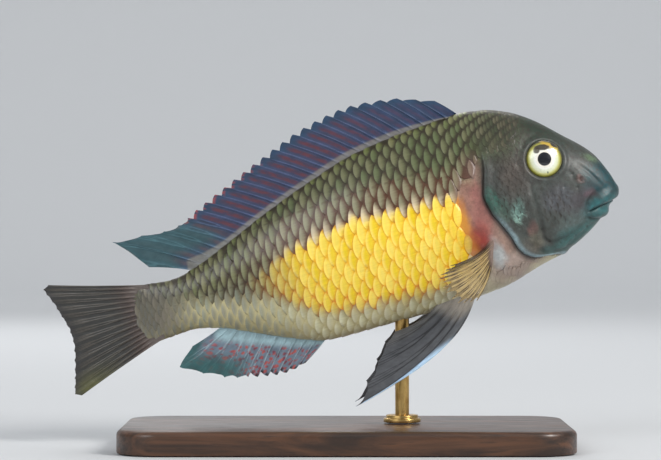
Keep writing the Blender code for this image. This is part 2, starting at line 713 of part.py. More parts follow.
def main():
    clear_scene()
    fish = [
        (head(), SKIN_COLOUR, 0.45),
        (trunk(), FLANK_COLOUR, 0.4),
        (tail_base(), TAIL_COLOUR, 0.45),
        (eye("eye_left", 1), EYE_COLOUR, 0.1),
        (eye("eye_right", -1), EYE_COLOUR, 0.1),
        (dorsal_fin(), FIN_COLOUR, 0.4),
        (anal_fin(), FIN_COLOUR, 0.4),
        (tail_fin(), DARK_FIN_COLOUR, 0.4),
        (pelvic_fin("pelvic_fin_left", True), DARK_FIN_COLOUR, 0.4),
        (pelvic_fin("pelvic_fin_right", False), DARK_FIN_COLOUR, 0.4),
        (pectoral_fin("pectoral_fin_left", True), DARK_FIN_COLOUR, 0.4),
        (pectoral_fin("pectoral_fin_right", False), DARK_FIN_COLOUR, 0.4),
    ]
    for item, colour, roughness in fish:
        pose(item)
        finish(item, colour, roughness)
    finish(stand_base(), WOOD_COLOUR, 0.35)
    finish(stand_rod(), BRASS_COLOUR, 0.3, 1.0)
    finish(stand_collar(), BRASS_COLOUR, 0.3, 1.0)


main()
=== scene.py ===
# Looks of a life-size tropheus cichlid on its display stand.
# Fish sizes are millimetres in its own straight frame: u behind the snout, side to its left, h over its axis.
import math

import bpy
import numpy as np
from mathutils import Matrix, Vector


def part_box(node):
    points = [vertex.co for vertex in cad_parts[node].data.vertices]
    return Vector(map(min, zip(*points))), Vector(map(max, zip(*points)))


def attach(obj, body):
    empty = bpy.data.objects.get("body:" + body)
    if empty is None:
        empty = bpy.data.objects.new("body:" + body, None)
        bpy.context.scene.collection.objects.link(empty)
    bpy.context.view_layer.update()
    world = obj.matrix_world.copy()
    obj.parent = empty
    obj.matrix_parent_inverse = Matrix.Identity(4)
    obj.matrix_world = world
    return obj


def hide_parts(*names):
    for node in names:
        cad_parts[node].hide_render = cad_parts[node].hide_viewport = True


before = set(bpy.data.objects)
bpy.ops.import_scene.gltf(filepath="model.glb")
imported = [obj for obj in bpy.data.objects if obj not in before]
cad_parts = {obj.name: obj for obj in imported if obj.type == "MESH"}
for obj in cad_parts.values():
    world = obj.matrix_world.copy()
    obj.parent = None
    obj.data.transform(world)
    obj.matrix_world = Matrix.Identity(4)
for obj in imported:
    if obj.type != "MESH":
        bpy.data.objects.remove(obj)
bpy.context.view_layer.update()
print("frame loaded")

mm = 0.001

# where the straight fish is curved and set nose up over the stand
stance = {
    "bodyMiddle": 52.0,
    "noseUp": 18.0,
    "sweepFrom": 50.0,
    "sweepTo": 125.0,
    "sweep": 8.0,
    "forward": 7.0,
    "height": 45.5,
}

# body outline: distance behind the snout and the value there
body = {
    "end": 106.6,
    "back": (
        (0.2, -5.6), (0.6, -3.9), (1.0, -2.4), (3.0, 2.4), (8.4, 8.5), (13.5, 13.6), (18.1, 16.8),
        (23.0, 18.7), (28.4, 19.6), (40.0, 19.4), (51.4, 18.4), (62.0, 15.8), (73.2, 12.3), (82.7, 8.8),
        (90.4, 6.1), (97.0, 4.7), (104.3, 5.5), (106.6, 5.4),
    ),
    "belly": (
        (0.2, -6.4), (0.6, -7.1), (1.0, -7.6), (3.0, -9.2), (5.4, -11.2), (9.9, -13.8), (16.4, -16.3),
        (20.0, -16.9), (30.9, -19.2), (42.4, -19.5), (53.6, -19.1), (64.7, -18.7), (69.6, -18.2),
        (75.1, -16.2), (82.9, -12.5), (91.0, -8.6), (97.0, -7.2), (104.3, -7.4), (106.6, -7.3),
    ),
    "width": (
        (0.2, 1.3), (0.6, 2.6), (1.0, 3.3), (3.0, 4.7), (6.0, 5.9), (10.0, 6.9), (15.0, 7.8), (22.0, 8.6),
        (30.0, 8.9), (40.0, 9.0), (50.0, 8.6), (60.0, 7.7), (70.0, 6.3), (80.0, 4.7), (90.0, 3.4),
        (98.0, 2.3), (104.3, 1.2), (106.6, 0.45),
    ),
    "widest": ((0.2, -6.0), (5.0, -3.6), (12.0, -2.0), (25.0, -1.5), (60.0, -1.0), (104.3, -0.9)),
    "backFullness": ((0.2, 0.85), (12.0, 0.95), (28.0, 1.15), (60.0, 1.3), (104.3, 1.15)),
    "bellyFullness": ((0.2, 0.85), (20.0, 0.9), (60.0, 0.95), (80.0, 1.1), (104.3, 1.15)),
    "tuck": ((0.2, 0.55), (27.0, 0.55), (36.0, 0.0), (104.3, 0.0)),
    "gill": (
        (25.3, 30.0), (25.4, 19.0), (26.0, 12.9), (26.5, 7.4), (27.7, 3.5), (28.5, 0.6), (28.0, -2.9),
        (26.8, -5.9), (25.5, -9.3), (24.8, -12.0), (23.4, -13.9), (21.6, -14.9), (19.4, -15.3),
        (17.2, -15.6), (14.6, -17.0), (11.0, -21.0),
    ),
}


# Numbers along the fish

def readCurve(knots, x, column=1):  # smooth curve through the knots that never overshoots them
    xs = np.array([knot[0] for knot in knots], float)
    ys = np.array([knot[column] for knot in knots], float)
    slopes = np.diff(ys) / np.diff(xs)
    ahead, behind = slopes[:-1], slopes[1:]
    same = ahead * behind > 0
    inner = np.where(same, 2 * ahead * behind / np.where(same, ahead + behind, 1.0), 0.0)
    tangents = np.concatenate([slopes[:1], inner, slopes[-1:]])
    x = np.clip(np.asarray(x, float), xs[0], xs[-1])
    i = np.clip(np.searchsorted(xs, x) - 1, 0, len(xs) - 2)
    span = xs[i + 1] - xs[i]
    t = (x - xs[i]) / span
    return (
        (2 * t**3 - 3 * t**2 + 1) * ys[i]
        + (t**3 - 2 * t**2 + t) * span * tangents[i]
        + (3 * t**2 - 2 * t**3) * ys[i + 1]
        + (t**3 - t**2) * span * tangents[i + 1]
    )


def fade(x, low, high):  # 0 below low, 1 above high, smooth between
    t = np.clip((np.asarray(x, float) - low) / (high - low), 0.0, 1.0)
    return t * t * (3 - 2 * t)


def poseFish(points):  # straight fish in millimetres to the place over the stand in metres
    u, side, h = np.asarray(points, float).T
    x = stance["bodyMiddle"] - u
    reach = stance["sweepTo"] - stance["sweepFrom"]
    y = side + stance["sweep"] * (np.maximum(u - stance["sweepFrom"], 0.0) / reach) ** 2
    turn = math.radians(stance["noseUp"])
    forward = x * math.cos(turn) - h * math.sin(turn) + stance["forward"]
    up = x * math.sin(turn) + h * math.cos(turn) + stance["height"]
    return np.stack([forward, y, up], axis=1) * mm


def liftOf(u, h):  # -1 at the belly's middle line, 0 at the widest line, 1 at the back's
    top, bottom = readCurve(body["back"], u), readCurve(body["belly"], u)
    middle = readCurve(body["widest"], u)
    up = (h - middle) / np.where(h > middle, top - middle, middle - bottom)
    return np.arcsin(np.clip(up, -1.0, 1.0)) / (math.pi / 2)


def gillTable():  # lift and u along the rear edge of the gill cover, from belly to back
    rows = [(i, *point) for i, point in enumerate(body["gill"])]
    spots = np.linspace(0, len(rows) - 1, 400)
    u, h = readCurve(rows, spots, 1), readCurve(rows, spots, 2)
    lift = liftOf(u, h)
    inside = np.abs(lift) < 0.995
    first, last = np.argmax(inside), len(spots) - np.argmax(inside[::-1])
    u, lift = u[first:last], lift[first:last]
    order = np.argsort(lift)
    return lift[order], u[order]


gillLift, gillU = gillTable()


def gillAt(lift):
    return np.interp(lift, gillLift, gillU)


def behindGill(u, h):
    return u - gillAt(liftOf(u, h))


def sectionPoint(u, angle, tuck):  # angle 0 at the left side, a quarter turn at the back
    top, bottom = readCurve(body["back"], u), readCurve(body["belly"], u)
    middle = readCurve(body["widest"], u)
    width = readCurve(body["width"], u) - tuck
    across, up = np.cos(angle), np.sin(angle)
    fullness = np.where(up > 0, readCurve(body["backFullness"], u), readCurve(body["bellyFullness"], u))
    side = width * np.sign(across) * np.abs(across) ** fullness
    h = middle + np.where(up > 0, top - middle, middle - bottom) * up
    return np.stack([u, side, h], axis=-1)


def skinSide(u, h):  # half the width of the head's side at u and h
    lift = liftOf(u, h) * math.pi / 2
    return sectionPoint(np.asarray(u, float), lift, 0.0)[..., 1]


# Scale sizes along the body, as a share of the largest
scaleCoat = {
    "pitch": 2.8,
    "pitchShare": ((13.0, 0.24), (18.0, 0.31), (23.0, 0.5), (28.5, 0.72), (32.0, 0.86), (40.0, 1.0),
                   (58.0, 1.0), (75.0, 0.88), (90.0, 0.78), (100.0, 0.62), (108.0, 0.4)),
    "rowPlaces": ((-22, -48.0), (-13, -28.6), (-6, -14.0), (-2, -4.8), (0, 0.0), (2, 5.6), (4, 11.2),
                  (6, 16.2), (8, 20.6), (10, 24.6), (22, 48.0)),
    "rowShare": ((13.0, 0.32), (18.0, 0.38), (23.0, 0.54), (28.5, 0.73), (38.0, 1.0), (55.0, 1.0),
                 (75.0, 0.98), (88.0, 0.9), (98.0, 0.7), (108.0, 0.46)),
    "rows": 22,
    "lean": 0.14,
    "bare": ((29.8, -4.6), (4.0, 10.2)),
    "bareBelow": (5.2, -15.0, -5.0),
    "firstColumn": 11.5,
    "lastColumn": 110.0,
    "length": 1.78,
    "height": 1.2,
    "roundFrom": 0.6,
    "rootNarrow": 0.22,
    "thickness": 0.08,
    "rootSink": 0.12,
    "rootDrop": 0.45,
    "rearRise": 0.19,
    "leadSink": 0.5,
    "leadFrom": (0.47, 0.28),
    "lens": (0.67, 0.3),
    "depth": 0.36,
    "blankAcross": 13,
    "blankAlong": 9,
    "turn": 0.05,
    "seed": 7,
    "pieces": 4,
    "napeFrom": (14.0, 7.0),
    "tailEnd": (107.4, 3.0),
    "edgeMargin": 0.15,
    "rearCurl": 0.05,
    "rootShare": 0.72,
    "ownTone": 0.45,
    "patchSize": (0.003, 0.0015),
    "patchReach": (115.0, 120.0),
    "tableU": (12.0, 112.0, 0.5),
    "tableArc": (-34.0, 34.01, 0.25),
    "lateralRows": ((4, 36.0, 82.0), (0, 78.0, 103.0)),
}


def bareShare(u, h):  # 1 on the smooth skin behind the gill cover
    (bareU, bareH), (reachU, reachH) = scaleCoat["bare"]
    oval = fade(np.hypot((u - bareU) / reachU, (h - bareH) / reachH), 1.2, 0.95)
    beyond, low, high = scaleCoat["bareBelow"]
    heights = fade(h, low - 0.8, low) * fade(h, high + 0.8, high)
    band = fade(behindGill(u, h), beyond + 0.8, beyond - 0.6) * heights
    return np.maximum(oval, band)


def pastNape(u, lift):  # how far a point is behind the front edge of the nape's scales
    start, lean = scaleCoat["napeFrom"]
    return u - start - lean * (1.0 - lift)


def scaly(u, h):  # 1 where the body carries scales, 0 on bare skin
    lift = liftOf(u, h)
    nape = fade(pastNape(u, lift), 0.0, 4.0) * fade(lift, 0.26, 0.46)
    return np.maximum(nape, fade(u - gillAt(lift), 0.0, 0.8)) * (1.0 - bareShare(u, h))


def fleshPoint(u, angle, under=False):  # skin under the scales, without folds; under: also below the cover
    lift = np.arcsin(np.sin(angle)) / (math.pi / 2)
    gill = gillAt(lift)
    behind = (1.0 if under else fade(u - gill, -0.05, 0.05)) * coverAt(lift)
    tuck = readCurve(body["tuck"], u) * behind
    spot = sectionPoint(u, angle, tuck)
    step = 0.02
    along = sectionPoint(u + step, angle, tuck) - sectionPoint(np.maximum(u - step, 0.2), angle, tuck)
    around = sectionPoint(u, angle + step, tuck) - sectionPoint(u, angle - step, tuck)
    normal = np.cross(around, along)
    normal /= np.maximum(np.linalg.norm(normal, axis=-1, keepdims=True), 1e-9)
    outward = np.stack([np.zeros_like(u), np.cos(angle), np.sin(angle)], axis=-1)
    flip = np.sign(np.sum(normal * outward, axis=-1, keepdims=True))
    normal *= np.where(flip == 0, 1.0, flip)
    depth = scaleCoat["depth"] * readCurve(scaleCoat["pitchShare"], u) * scaly(u, spot[..., 2])
    return spot - normal * depth[..., None], normal


def coverAt(lift):  # how far the gill cover stands free of the body: 0 at the nape, 1 from its middle down
    return 1.0 - fade(lift, 0.18, 0.46)


# Making pieces

def deselectAll():
    if bpy.context.object and bpy.context.object.mode != "OBJECT":
        bpy.ops.object.mode_set(mode="OBJECT")
    bpy.ops.object.select_all(action="DESELECT")


def pick(piece):
    deselectAll()
    piece.select_set(True)
    bpy.context.view_layer.objects.active = piece
    return piece


def addGrid(name, across, along):  # across x along points, laid on the fish afterwards
    deselectAll()
    bpy.ops.mesh.primitive_grid_add(x_subdivisions=across - 1, y_subdivisions=along - 1, size=1.0)
    piece = bpy.context.object
    piece.name = name
    piece.data.name = name
    return piece


def layPoints(piece, points):
    piece.data.vertices.foreach_set("co", np.asarray(points, np.float32).ravel())
    piece.data.update()


def readPoints(piece):
    points = np.zeros(len(piece.data.vertices) * 3, np.float32)
    piece.data.vertices.foreach_get("co", points)
    return points.reshape(-1, 3).astype(float)


def writeValue(piece, name, values):
    values = np.asarray(values, np.float32)
    kind, key = ("FLOAT_VECTOR", "vector") if values.ndim == 2 else ("FLOAT", "value")
    layer = piece.data.attributes.new(name, kind, "POINT")
    layer.data.foreach_set(key, values.ravel())


def writeMarkings(piece, spots):  # what the markings read: place along the body and lift up its side
    u, h = spots[:, 0], spots[:, 2]
    writeValue(piece, "flesh", spots)
    writeValue(piece, "place", np.stack([u, h, behindGill(u, h)], axis=1))
    writeValue(piece, "lift", liftOf(u, h))


def applyAll(piece):
    pick(piece)
    for modifier in list(piece.modifiers):
        bpy.ops.object.modifier_apply(modifier=modifier.name)


def cleanMesh(piece, distance=1e-6, close=False):  # close: holes are filled too
    pick(piece)
    bpy.ops.object.mode_set(mode="EDIT")
    bpy.ops.mesh.select_all(action="SELECT")
    bpy.ops.mesh.remove_doubles(threshold=distance)
    if close:
        bpy.ops.mesh.select_all(action="SELECT")
        bpy.ops.mesh.fill_holes(sides=0)
        bpy.ops.mesh.select_all(action="SELECT")
    bpy.ops.mesh.normals_make_consistent(inside=False)
    bpy.ops.object.mode_set(mode="OBJECT")


def smoothPiece(piece, degrees=None):
    pick(piece)
    if degrees is None:
        bpy.ops.object.shade_smooth()
    else:
        bpy.ops.object.shade_smooth_by_angle(angle=math.radians(degrees))


def settle(piece, slot, material, *nodes):  # the piece takes its place in the frame
    piece.data.materials.clear()
    piece.data.materials.append(material)
    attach(piece, "root")
    if nodes:
        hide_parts(*nodes)


# Nodes

def tone(red, green, blue):  # a colour as the eye reads it on a screen, 0 to 255
    parts = [part / 255 for part in (red, green, blue)]
    return (*[c / 12.92 if c <= 0.04045 else ((c + 0.055) / 1.055) ** 2.4 for c in parts], 1.0)


class NodeBench:  # the nodes of one material or group, and the node that takes what they give
    def __init__(self, tree, sink):
        self.tree = tree
        self.sink = sink

    def wire(self, node, inputs):
        for key, value in inputs.items():
            if isinstance(value, bpy.types.NodeSocket):
                self.tree.links.new(value, node.inputs[key])
            else:
                node.inputs[key].default_value = value
        return node

    def feed(self, inputs):
        self.wire(self.sink, inputs)

    def add(self, kind, inputs=None, **settings):
        made = self.tree.nodes.new("ShaderNode" + kind)
        for key, value in settings.items():
            setattr(made, key, value)
        return self.wire(made, inputs or {})

    def place(self, group, **inputs):
        return self.wire(self.add("Group", node_tree=group), inputs).outputs

    def value(self, name):  # a number kept on the mesh
        return self.add("Attribute", attribute_name=name).outputs["Fac"]

    def spot(self, name):  # a place kept on the mesh
        return self.add("Attribute", attribute_name=name).outputs["Vector"]

    def maths(self, operation, a, b=0.0, clamp=False):
        return self.add("Math", {0: a, 1: b}, operation=operation, use_clamp=clamp).outputs[0]

    def times(self, first, *others):
        for other in others:
            first = self.maths("MULTIPLY", first, other)
        return first

    def plus(self, a, b):
        return self.maths("ADD", a, b)

    def less(self, a, b):
        return self.maths("SUBTRACT", a, b)

    def vector(self, operation, a, b=None, scale=None):
        inputs = {key: value for key, value in {0: a, 1: b, 3: scale}.items() if value is not None}
        made = self.add("VectorMath", inputs, operation=operation)
        return made.outputs["Value" if operation in ("LENGTH", "DOT_PRODUCT") else "Vector"]

    def split(self, vector):
        return self.add("SeparateXYZ", {0: vector}).outputs

    def combine(self, x, y, z=0.0):
        return self.add("CombineXYZ", {0: x, 1: y, 2: z}).outputs[0]

    def blend(self, factor, a, b):
        return self.add("Mix", {0: factor, 2: a, 3: b}).outputs[0]

    def layer(self, colour, *layers):  # colours laid over the first one, each through its mask
        for mask, over in layers:
            colour = self.add("Mix", {0: mask, 6: colour, 7: over}, data_type="RGBA").outputs[2]
        return colour

    def brighten(self, colour, value, saturation=1.0):
        inputs = {"Color": colour, "Value": value, "Saturation": saturation}
        return self.add("HueSaturation", inputs).outputs[0]

    def ramp(self, value, low, high, bottom=0.0, top=1.0):
        inputs = {"Value": value, "From Min": low, "From Max": high, "To Min": bottom, "To Max": top}
        return self.add("MapRange", inputs, interpolation_type="SMOOTHSTEP").outputs[0]

    def curve(self, value, knots, reach=120.0, low=-30.0, high=30.0):  # a smooth curve along the body
        made = self.add("FloatCurve", {"Value": self.maths("DIVIDE", value, reach)})
        points = made.mapping.curves[0].points
        while len(points) < len(knots):
            points.new(0.5, 0.5)
        for point, (u, h) in zip(points, knots):
            point.location = (u / reach, (h - low) / (high - low))
        made.mapping.update()
        inputs = {"Value": made.outputs[0], "To Min": low, "To Max": high}
        return self.add("MapRange", inputs, clamp=False).outputs[0]

    def oval(self, flat, at, reach, turn=0.0, soft=0.6, strength=1.0):  # a soft oval on the side of the fish
        inputs = {"Vector": flat, "Location": (*at, 0.0), "Rotation": (0, 0, math.radians(turn)),
                  "Scale": (*reach, 1.0)}
        moved = self.add("Mapping", inputs, vector_type="TEXTURE").outputs[0]
        return self.ramp(self.vector("LENGTH", moved), 1.0, 1.0 - soft, 0.0, strength)

    def paintSpots(self, flat, colour, spots, share=1.0):  # share below 1 darkens the spots' own tones
        for at, reach, turn, soft, strength, spotTone in spots:
            mask = self.oval(flat, at, reach, turn, soft, strength)
            colour = self.layer(colour, (mask, tone(*[part * share for part in spotTone])))
        return colour

    def noise(self, vector, scale, detail=2.0, roughness=0.5, distortion=0.0, output=0):
        inputs = {"Vector": vector, "Scale": scale, "Detail": detail, "Roughness": roughness,
                  "Distortion": distortion}
        return self.add("TexNoise", inputs).outputs[output]

    def wander(self, vector, scale, detail, reach):  # the place, moved about softly
        off = self.vector("ADD", self.noise(vector, scale, detail, output="Color"), (-0.5, -0.5, -0.5))
        return self.vector("ADD", vector, self.vector("SCALE", off, scale=reach))

    def stretch(self, scale, rotation=(0.0, 0.0, 0.0)):  # object coordinates, stretched for grain
        spot = self.add("TexCoord").outputs["Object"]
        return self.add("Mapping", {"Vector": spot, "Scale": scale, "Rotation": rotation}).outputs[0]

    def relief(self, height, strength, distance):
        inputs = {"Height": height, "Strength": strength, "Distance": distance}
        self.feed({"Normal": self.add("Bump", inputs).outputs[0]})


def newGroup(name, inputs, outputs):
    group = bpy.data.node_groups.new(name, "ShaderNodeTree")
    for way, sockets in (("INPUT", inputs), ("OUTPUT", outputs)):
        for socket, kind in sockets.items():
            group.interface.new_socket(socket, in_out=way, socket_type="NodeSocket" + kind)
    taken = group.nodes.new("NodeGroupInput").outputs
    return group, taken, NodeBench(group, group.nodes.new("NodeGroupOutput"))


def newMaterial(name, **values):
    material = bpy.data.materials.new(name)
    material.use_nodes = True
    shader = material.node_tree.nodes["Principled BSDF"]
    for key, value in values.items():
        shader.inputs[key.replace("_", " ")].default_value = value
    return material, NodeBench(material.node_tree, shader)


# Markings shared by skin and scales. Each oval: centre (u, h), reach, turn, softness, strength, colour
markings = {
    "tones": {
        "ground": (72, 78, 74), "back": (94, 106, 66), "backTop": (128, 134, 60), "warm": (134, 116, 94),
        "finFoot": (150, 140, 112), "flank": (140, 138, 106), "yellow": (255, 218, 28),
        "yellowPale": (250, 226, 120), "belly": (240, 238, 198), "rear": (112, 116, 66),
        # rearLowToneAndShade: the lower rear's grey, darkened as painted shade where the light falls off
        "rearLowToneAndShade": (122, 130, 122), "shadeBack": (54, 48, 30), "shadeFlank": (88, 56, 38),
        "shadeYellow": (248, 184, 30), "shadeYellowLow": (232, 140, 34), "shadeYellowTop": (156, 92, 40),
        "shadeYellowSkin": (206, 124, 58), "paleEdge": (228, 208, 172), "shadeBelly": (210, 200, 152),
        # furrow: painted shade for creases, pores, the mouth slit and the gap under the gill cover
        "shadeRear": (56, 48, 30), "shadeHead": (50, 43, 39), "furrow": (36, 30, 28),
        "rimBlue": (160, 186, 194), "sparkle": (188, 230, 214),
    },
    "cheekPitch": (1.5, 1.15),
    "upperBorder": ((28.0, 1.2), (32.2, 2.2), (46.3, 3.6), (54.8, 4.6), (61.7, 4.2), (68.7, 3.1), (76.1, 1.0),
                    (84.0, -1.8)),
    "lowerBorder": ((28.0, -12.5), (36.0, -14.6), (43.5, -15.3), (56.5, -14.2), (69.5, -11.5), (76.0, -7.0),
                    (84.0, -4.0)),
    "yellowFrom": (32.0, 34.0),
    "yellowTo": (84.0, 66.0),
    "headSpots": (
        ((12.0, 12.0), (13.5, 7.0), 38.0, 0.85, 0.95, (34, 52, 38)),
        ((21.0, 12.5), (8.0, 7.5), 0.0, 0.85, 0.85, (52, 58, 36)),
        ((2.5, -3.5), (6.8, 6.2), 0.0, 0.7, 0.95, (18, 74, 82)),
        ((4.4, 1.8), (2.4, 1.1), 48.0, 0.9, 0.7, (112, 138, 104)),
        ((7.7, -2.0), (1.3, 1.1), 10.0, 0.8, 0.6, (144, 112, 106)),
        ((6.9, -5.2), (1.4, 1.6), 30.0, 0.8, 0.65, (104, 72, 78)),
        ((5.2, -8.8), (6.0, 3.0), -8.0, 0.6, 0.9, (46, 106, 110)),
        ((9.0, -6.0), (5.0, 3.2), -35.0, 0.8, 0.5, (96, 88, 98)),
        ((13.5, -4.5), (5.0, 4.4), 20.0, 0.8, 0.6, (94, 96, 104)),
        ((12.5, -10.3), (6.4, 3.4), -18.0, 0.8, 0.7, (98, 114, 112)),
        ((21.0, 3.5), (6.0, 7.5), 0.0, 0.8, 0.55, (88, 74, 66)),
        ((21.5, -12.0), (3.6, 2.8), 0.0, 0.8, 0.6, (124, 120, 112)),
        ((26.0, -3.4), (3.0, 3.6), 0.0, 0.7, 0.8, (78, 108, 96)),
        ((27.4, -0.4), (1.7, 4.4), 4.0, 0.7, 0.85, (44, 92, 80)),
        ((22.8, -4.4), (1.8, 3.6), 20.0, 0.8, 0.8, (118, 158, 148)),
        ((20.9, -8.8), (1.3, 2.2), 6.0, 0.8, 0.7, (126, 92, 86)),
        ((20.6, -11.4), (2.0, 3.4), 4.0, 0.8, 0.6, (122, 118, 100)),
        ((12.0, -13.0), (11.0, 3.0), -14.0, 0.8, 0.85, (62, 112, 110)),
    ),
    "bodySpots": (
        ((21.0, 13.5), (9.0, 6.0), 0.0, 0.9, 0.7, (50, 58, 34)),
        ((28.6, 6.0), (3.4, 6.5), -6.0, 0.9, 0.7, (132, 98, 92)),
        ((29.3, 2.2), (1.3, 3.4), 0.0, 0.8, 0.75, (186, 118, 104)),
        ((28.6, -6.5), (6.4, 13.0), -4.0, 0.5, 0.9, (164, 134, 122)),
        ((30.2, -1.4), (4.0, 8.6), -6.0, 0.6, 0.95, (152, 100, 92)),
        ((32.4, 1.6), (2.6, 5.6), -6.0, 0.8, 0.8, (150, 110, 96)),
        ((26.4, -15.4), (11.0, 4.8), -8.0, 0.7, 0.95, (172, 152, 142)),
        ((34.4, -10.6), (1.8, 3.0), 0.0, 0.7, 0.8, (206, 196, 188)),
        ((29.6, -11.6), (2.6, 5.0), -12.0, 0.8, 0.85, (190, 198, 200)),
        ((32.3, -7.4), (3.6, 4.8), 10.0, 0.85, 0.92, (150, 54, 46)),
        ((38.0, -17.5), (9.0, 3.0), 0.0, 0.8, 0.6, (190, 182, 168)),
        # tail root: its greyer tone, darkened further as painted shade where the light falls off towards the
        # tail
        ((104.0, -1.0), (13.0, 11.0), 0.0, 0.8, 0.85, (96, 92, 88)),
    ),
}


paint = {key: tone(*value) for key, value in markings["tones"].items()}


def buildMarkings():
    group, taken, bench = newGroup("fish markings", {"Place": "Vector", "Lift": "Float"},
                                   {"Light": "Color", "Shade": "Color", "Yellow": "Float"})
    times, ramp, layer = bench.times, bench.ramp, bench.layer
    place, lift = taken["Place"], taken["Lift"]
    moved = bench.wander(place, 0.22, 3.0, 3.2)
    flat = bench.vector("MULTIPLY", moved, (1.0, 1.0, 0.0))
    u, h, _ = bench.split(moved)
    gill = bench.split(place)[2]

    # masks from the heights over the yellow's upper and lower edges, the place along and the lift
    over = bench.less(h, bench.curve(u, markings["upperBorder"]))
    under = bench.less(h, bench.curve(u, markings["lowerBorder"]))
    inYellow = times(ramp(over, 0.7, -0.6), ramp(under, -1.4, 2.4), ramp(u, *markings["yellowFrom"]),
                     ramp(u, *markings["yellowTo"]))
    onBack = ramp(over, 3.5, 8.5)
    onTop = times(ramp(lift, 0.62, 0.9), 0.6)
    finFoot = times(ramp(lift, 0.83, 0.93), ramp(u, 28.0, 34.0), 0.8)
    onBelly = ramp(under, 2.0, -2.5)
    onRear = ramp(u, 68.0, 92.0)
    # lower rear of the body: its greyer tone, painted darker too as painted shade where the light falls off
    # towards the tail
    rearLowToneAndShade = times(ramp(lift, 0.15, -0.3), ramp(u, 68.0, 86.0))
    backRear = times(ramp(lift, 0.2, 0.75), ramp(u, 104.0, 84.0), onRear)
    alongEdge = times(ramp(u, 31.0, 35.0), ramp(u, 80.0, 66.0, 0.0, 0.75))
    paleEdge = times(ramp(over, -1.1, 0.2), ramp(over, 1.7, 0.5), alongEdge)
    side = times(ramp(gill, -0.2, 0.6), ramp(lift, 0.5, 0.2))
    nape = times(ramp(u, 13.0, 30.0), ramp(lift, 0.2, 0.5))
    onBody = bench.plus(side, nape)

    light = layer(
        paint["flank"], (onBack, paint["back"]), (times(onRear, 0.85), paint["rear"]),
        (rearLowToneAndShade, paint["rearLowToneAndShade"]),
        (backRear, paint["back"]), (onTop, paint["backTop"]),
        (times(onBelly, ramp(u, 66.0, 84.0, 1.0, 0.3)), paint["belly"]),
        (inYellow, paint["yellow"]), (paleEdge, paint["paleEdge"]),
    )
    light = bench.paintSpots(flat, light, markings["bodySpots"])
    light = layer(light, (finFoot, paint["finFoot"]))

    amber = layer(paint["shadeYellow"], (ramp(under, 6.5, 1.5), paint["shadeYellowLow"]),
                  (ramp(over, -2.6, 0.2), paint["shadeYellowTop"]))
    shade = layer(
        paint["shadeFlank"], (onBack, paint["shadeBack"]), (onRear, paint["shadeRear"]),
        (backRear, paint["shadeBack"]), (onBelly, paint["shadeBelly"]), (inYellow, amber),
    )
    shade = bench.paintSpots(flat, shade, markings["bodySpots"], 0.84)
    shade = layer(shade, (finFoot, paint["finFoot"]))

    head = bench.paintSpots(flat, paint["ground"], markings["headSpots"])
    lowRim = times(ramp(gill, -1.5, -0.4), ramp(h, -2.0, -8.5), 0.7)
    glints = ramp(bench.noise(place, 0.8, 4.0, 0.6, 0.8), 0.46, 0.7)
    glints = times(glints, bench.oval(flat, (22.8, -5.2), (2.0, 3.8), 20.0, 0.8), 0.7)
    head = layer(head, (lowRim, paint["rimBlue"]), (glints, paint["sparkle"]))
    headShade = layer(paint["shadeHead"], (times(ramp(lift, 0.3, 0.7), 0.35), paint["shadeBack"]))
    bench.feed({"Light": layer(head, (onBody, light)), "Shade": layer(headShade, (onBody, shade)),
                "Yellow": times(inYellow, onBody)})
    return group


markingsGroup = buildMarkings()


def buildGrain():  # soft mottling and fine relief of wet skin
    group, taken, bench = newGroup("wet skin grain", {"Place": "Vector", "Size": "Float"},
                                   {"Mottle": "Float", "Height": "Float", "Cells": "Float"})
    place = taken["Place"]
    scaled = bench.vector("SCALE", place, scale=taken["Size"])
    cells = bench.add("TexVoronoi", {"Vector": scaled, "Scale": 1.0, "Randomness": 0.8}, feature="SMOOTH_F1")
    bench.feed({"Mottle": bench.noise(place, 0.55, 4.0, 0.6),
                "Height": bench.times(bench.noise(place, 4.5, 3.0, 0.6), 0.5),
                "Cells": bench.times(cells.outputs["Distance"], -1.0)})
    return group


def buildCheekScales():  # small scales sunk in the skin, in staggered rows
    group, taken, bench = newGroup("cheek scales", {"Place": "Vector"}, {"Rise": "Float", "Base": "Float"})
    pitch, row = markings["cheekPitch"]
    slants = [(1 / pitch, 0.0, sign / (2 * row)) for sign in (1, -1)]
    spot = bench.combine(*[bench.vector("DOT_PRODUCT", taken["Place"], slant) for slant in slants])
    cells = bench.add("TexVoronoi", {"Vector": spot, "Scale": 1.0, "Randomness": 0.4},
                      voronoi_dimensions="2D")
    off = bench.vector("SUBTRACT", spot, cells.outputs["Position"])
    rise = bench.vector("DOT_PRODUCT", off, (0.5, 0.5, 0.0))
    bench.feed({"Rise": rise, "Base": bench.ramp(rise, -0.08, -0.34)})
    return group


grainGroup = buildGrain()
cheekGroup = buildCheekScales()
print("markings built")


# Skin: one surface from snout to tail root, with the folds of the head sculpted in

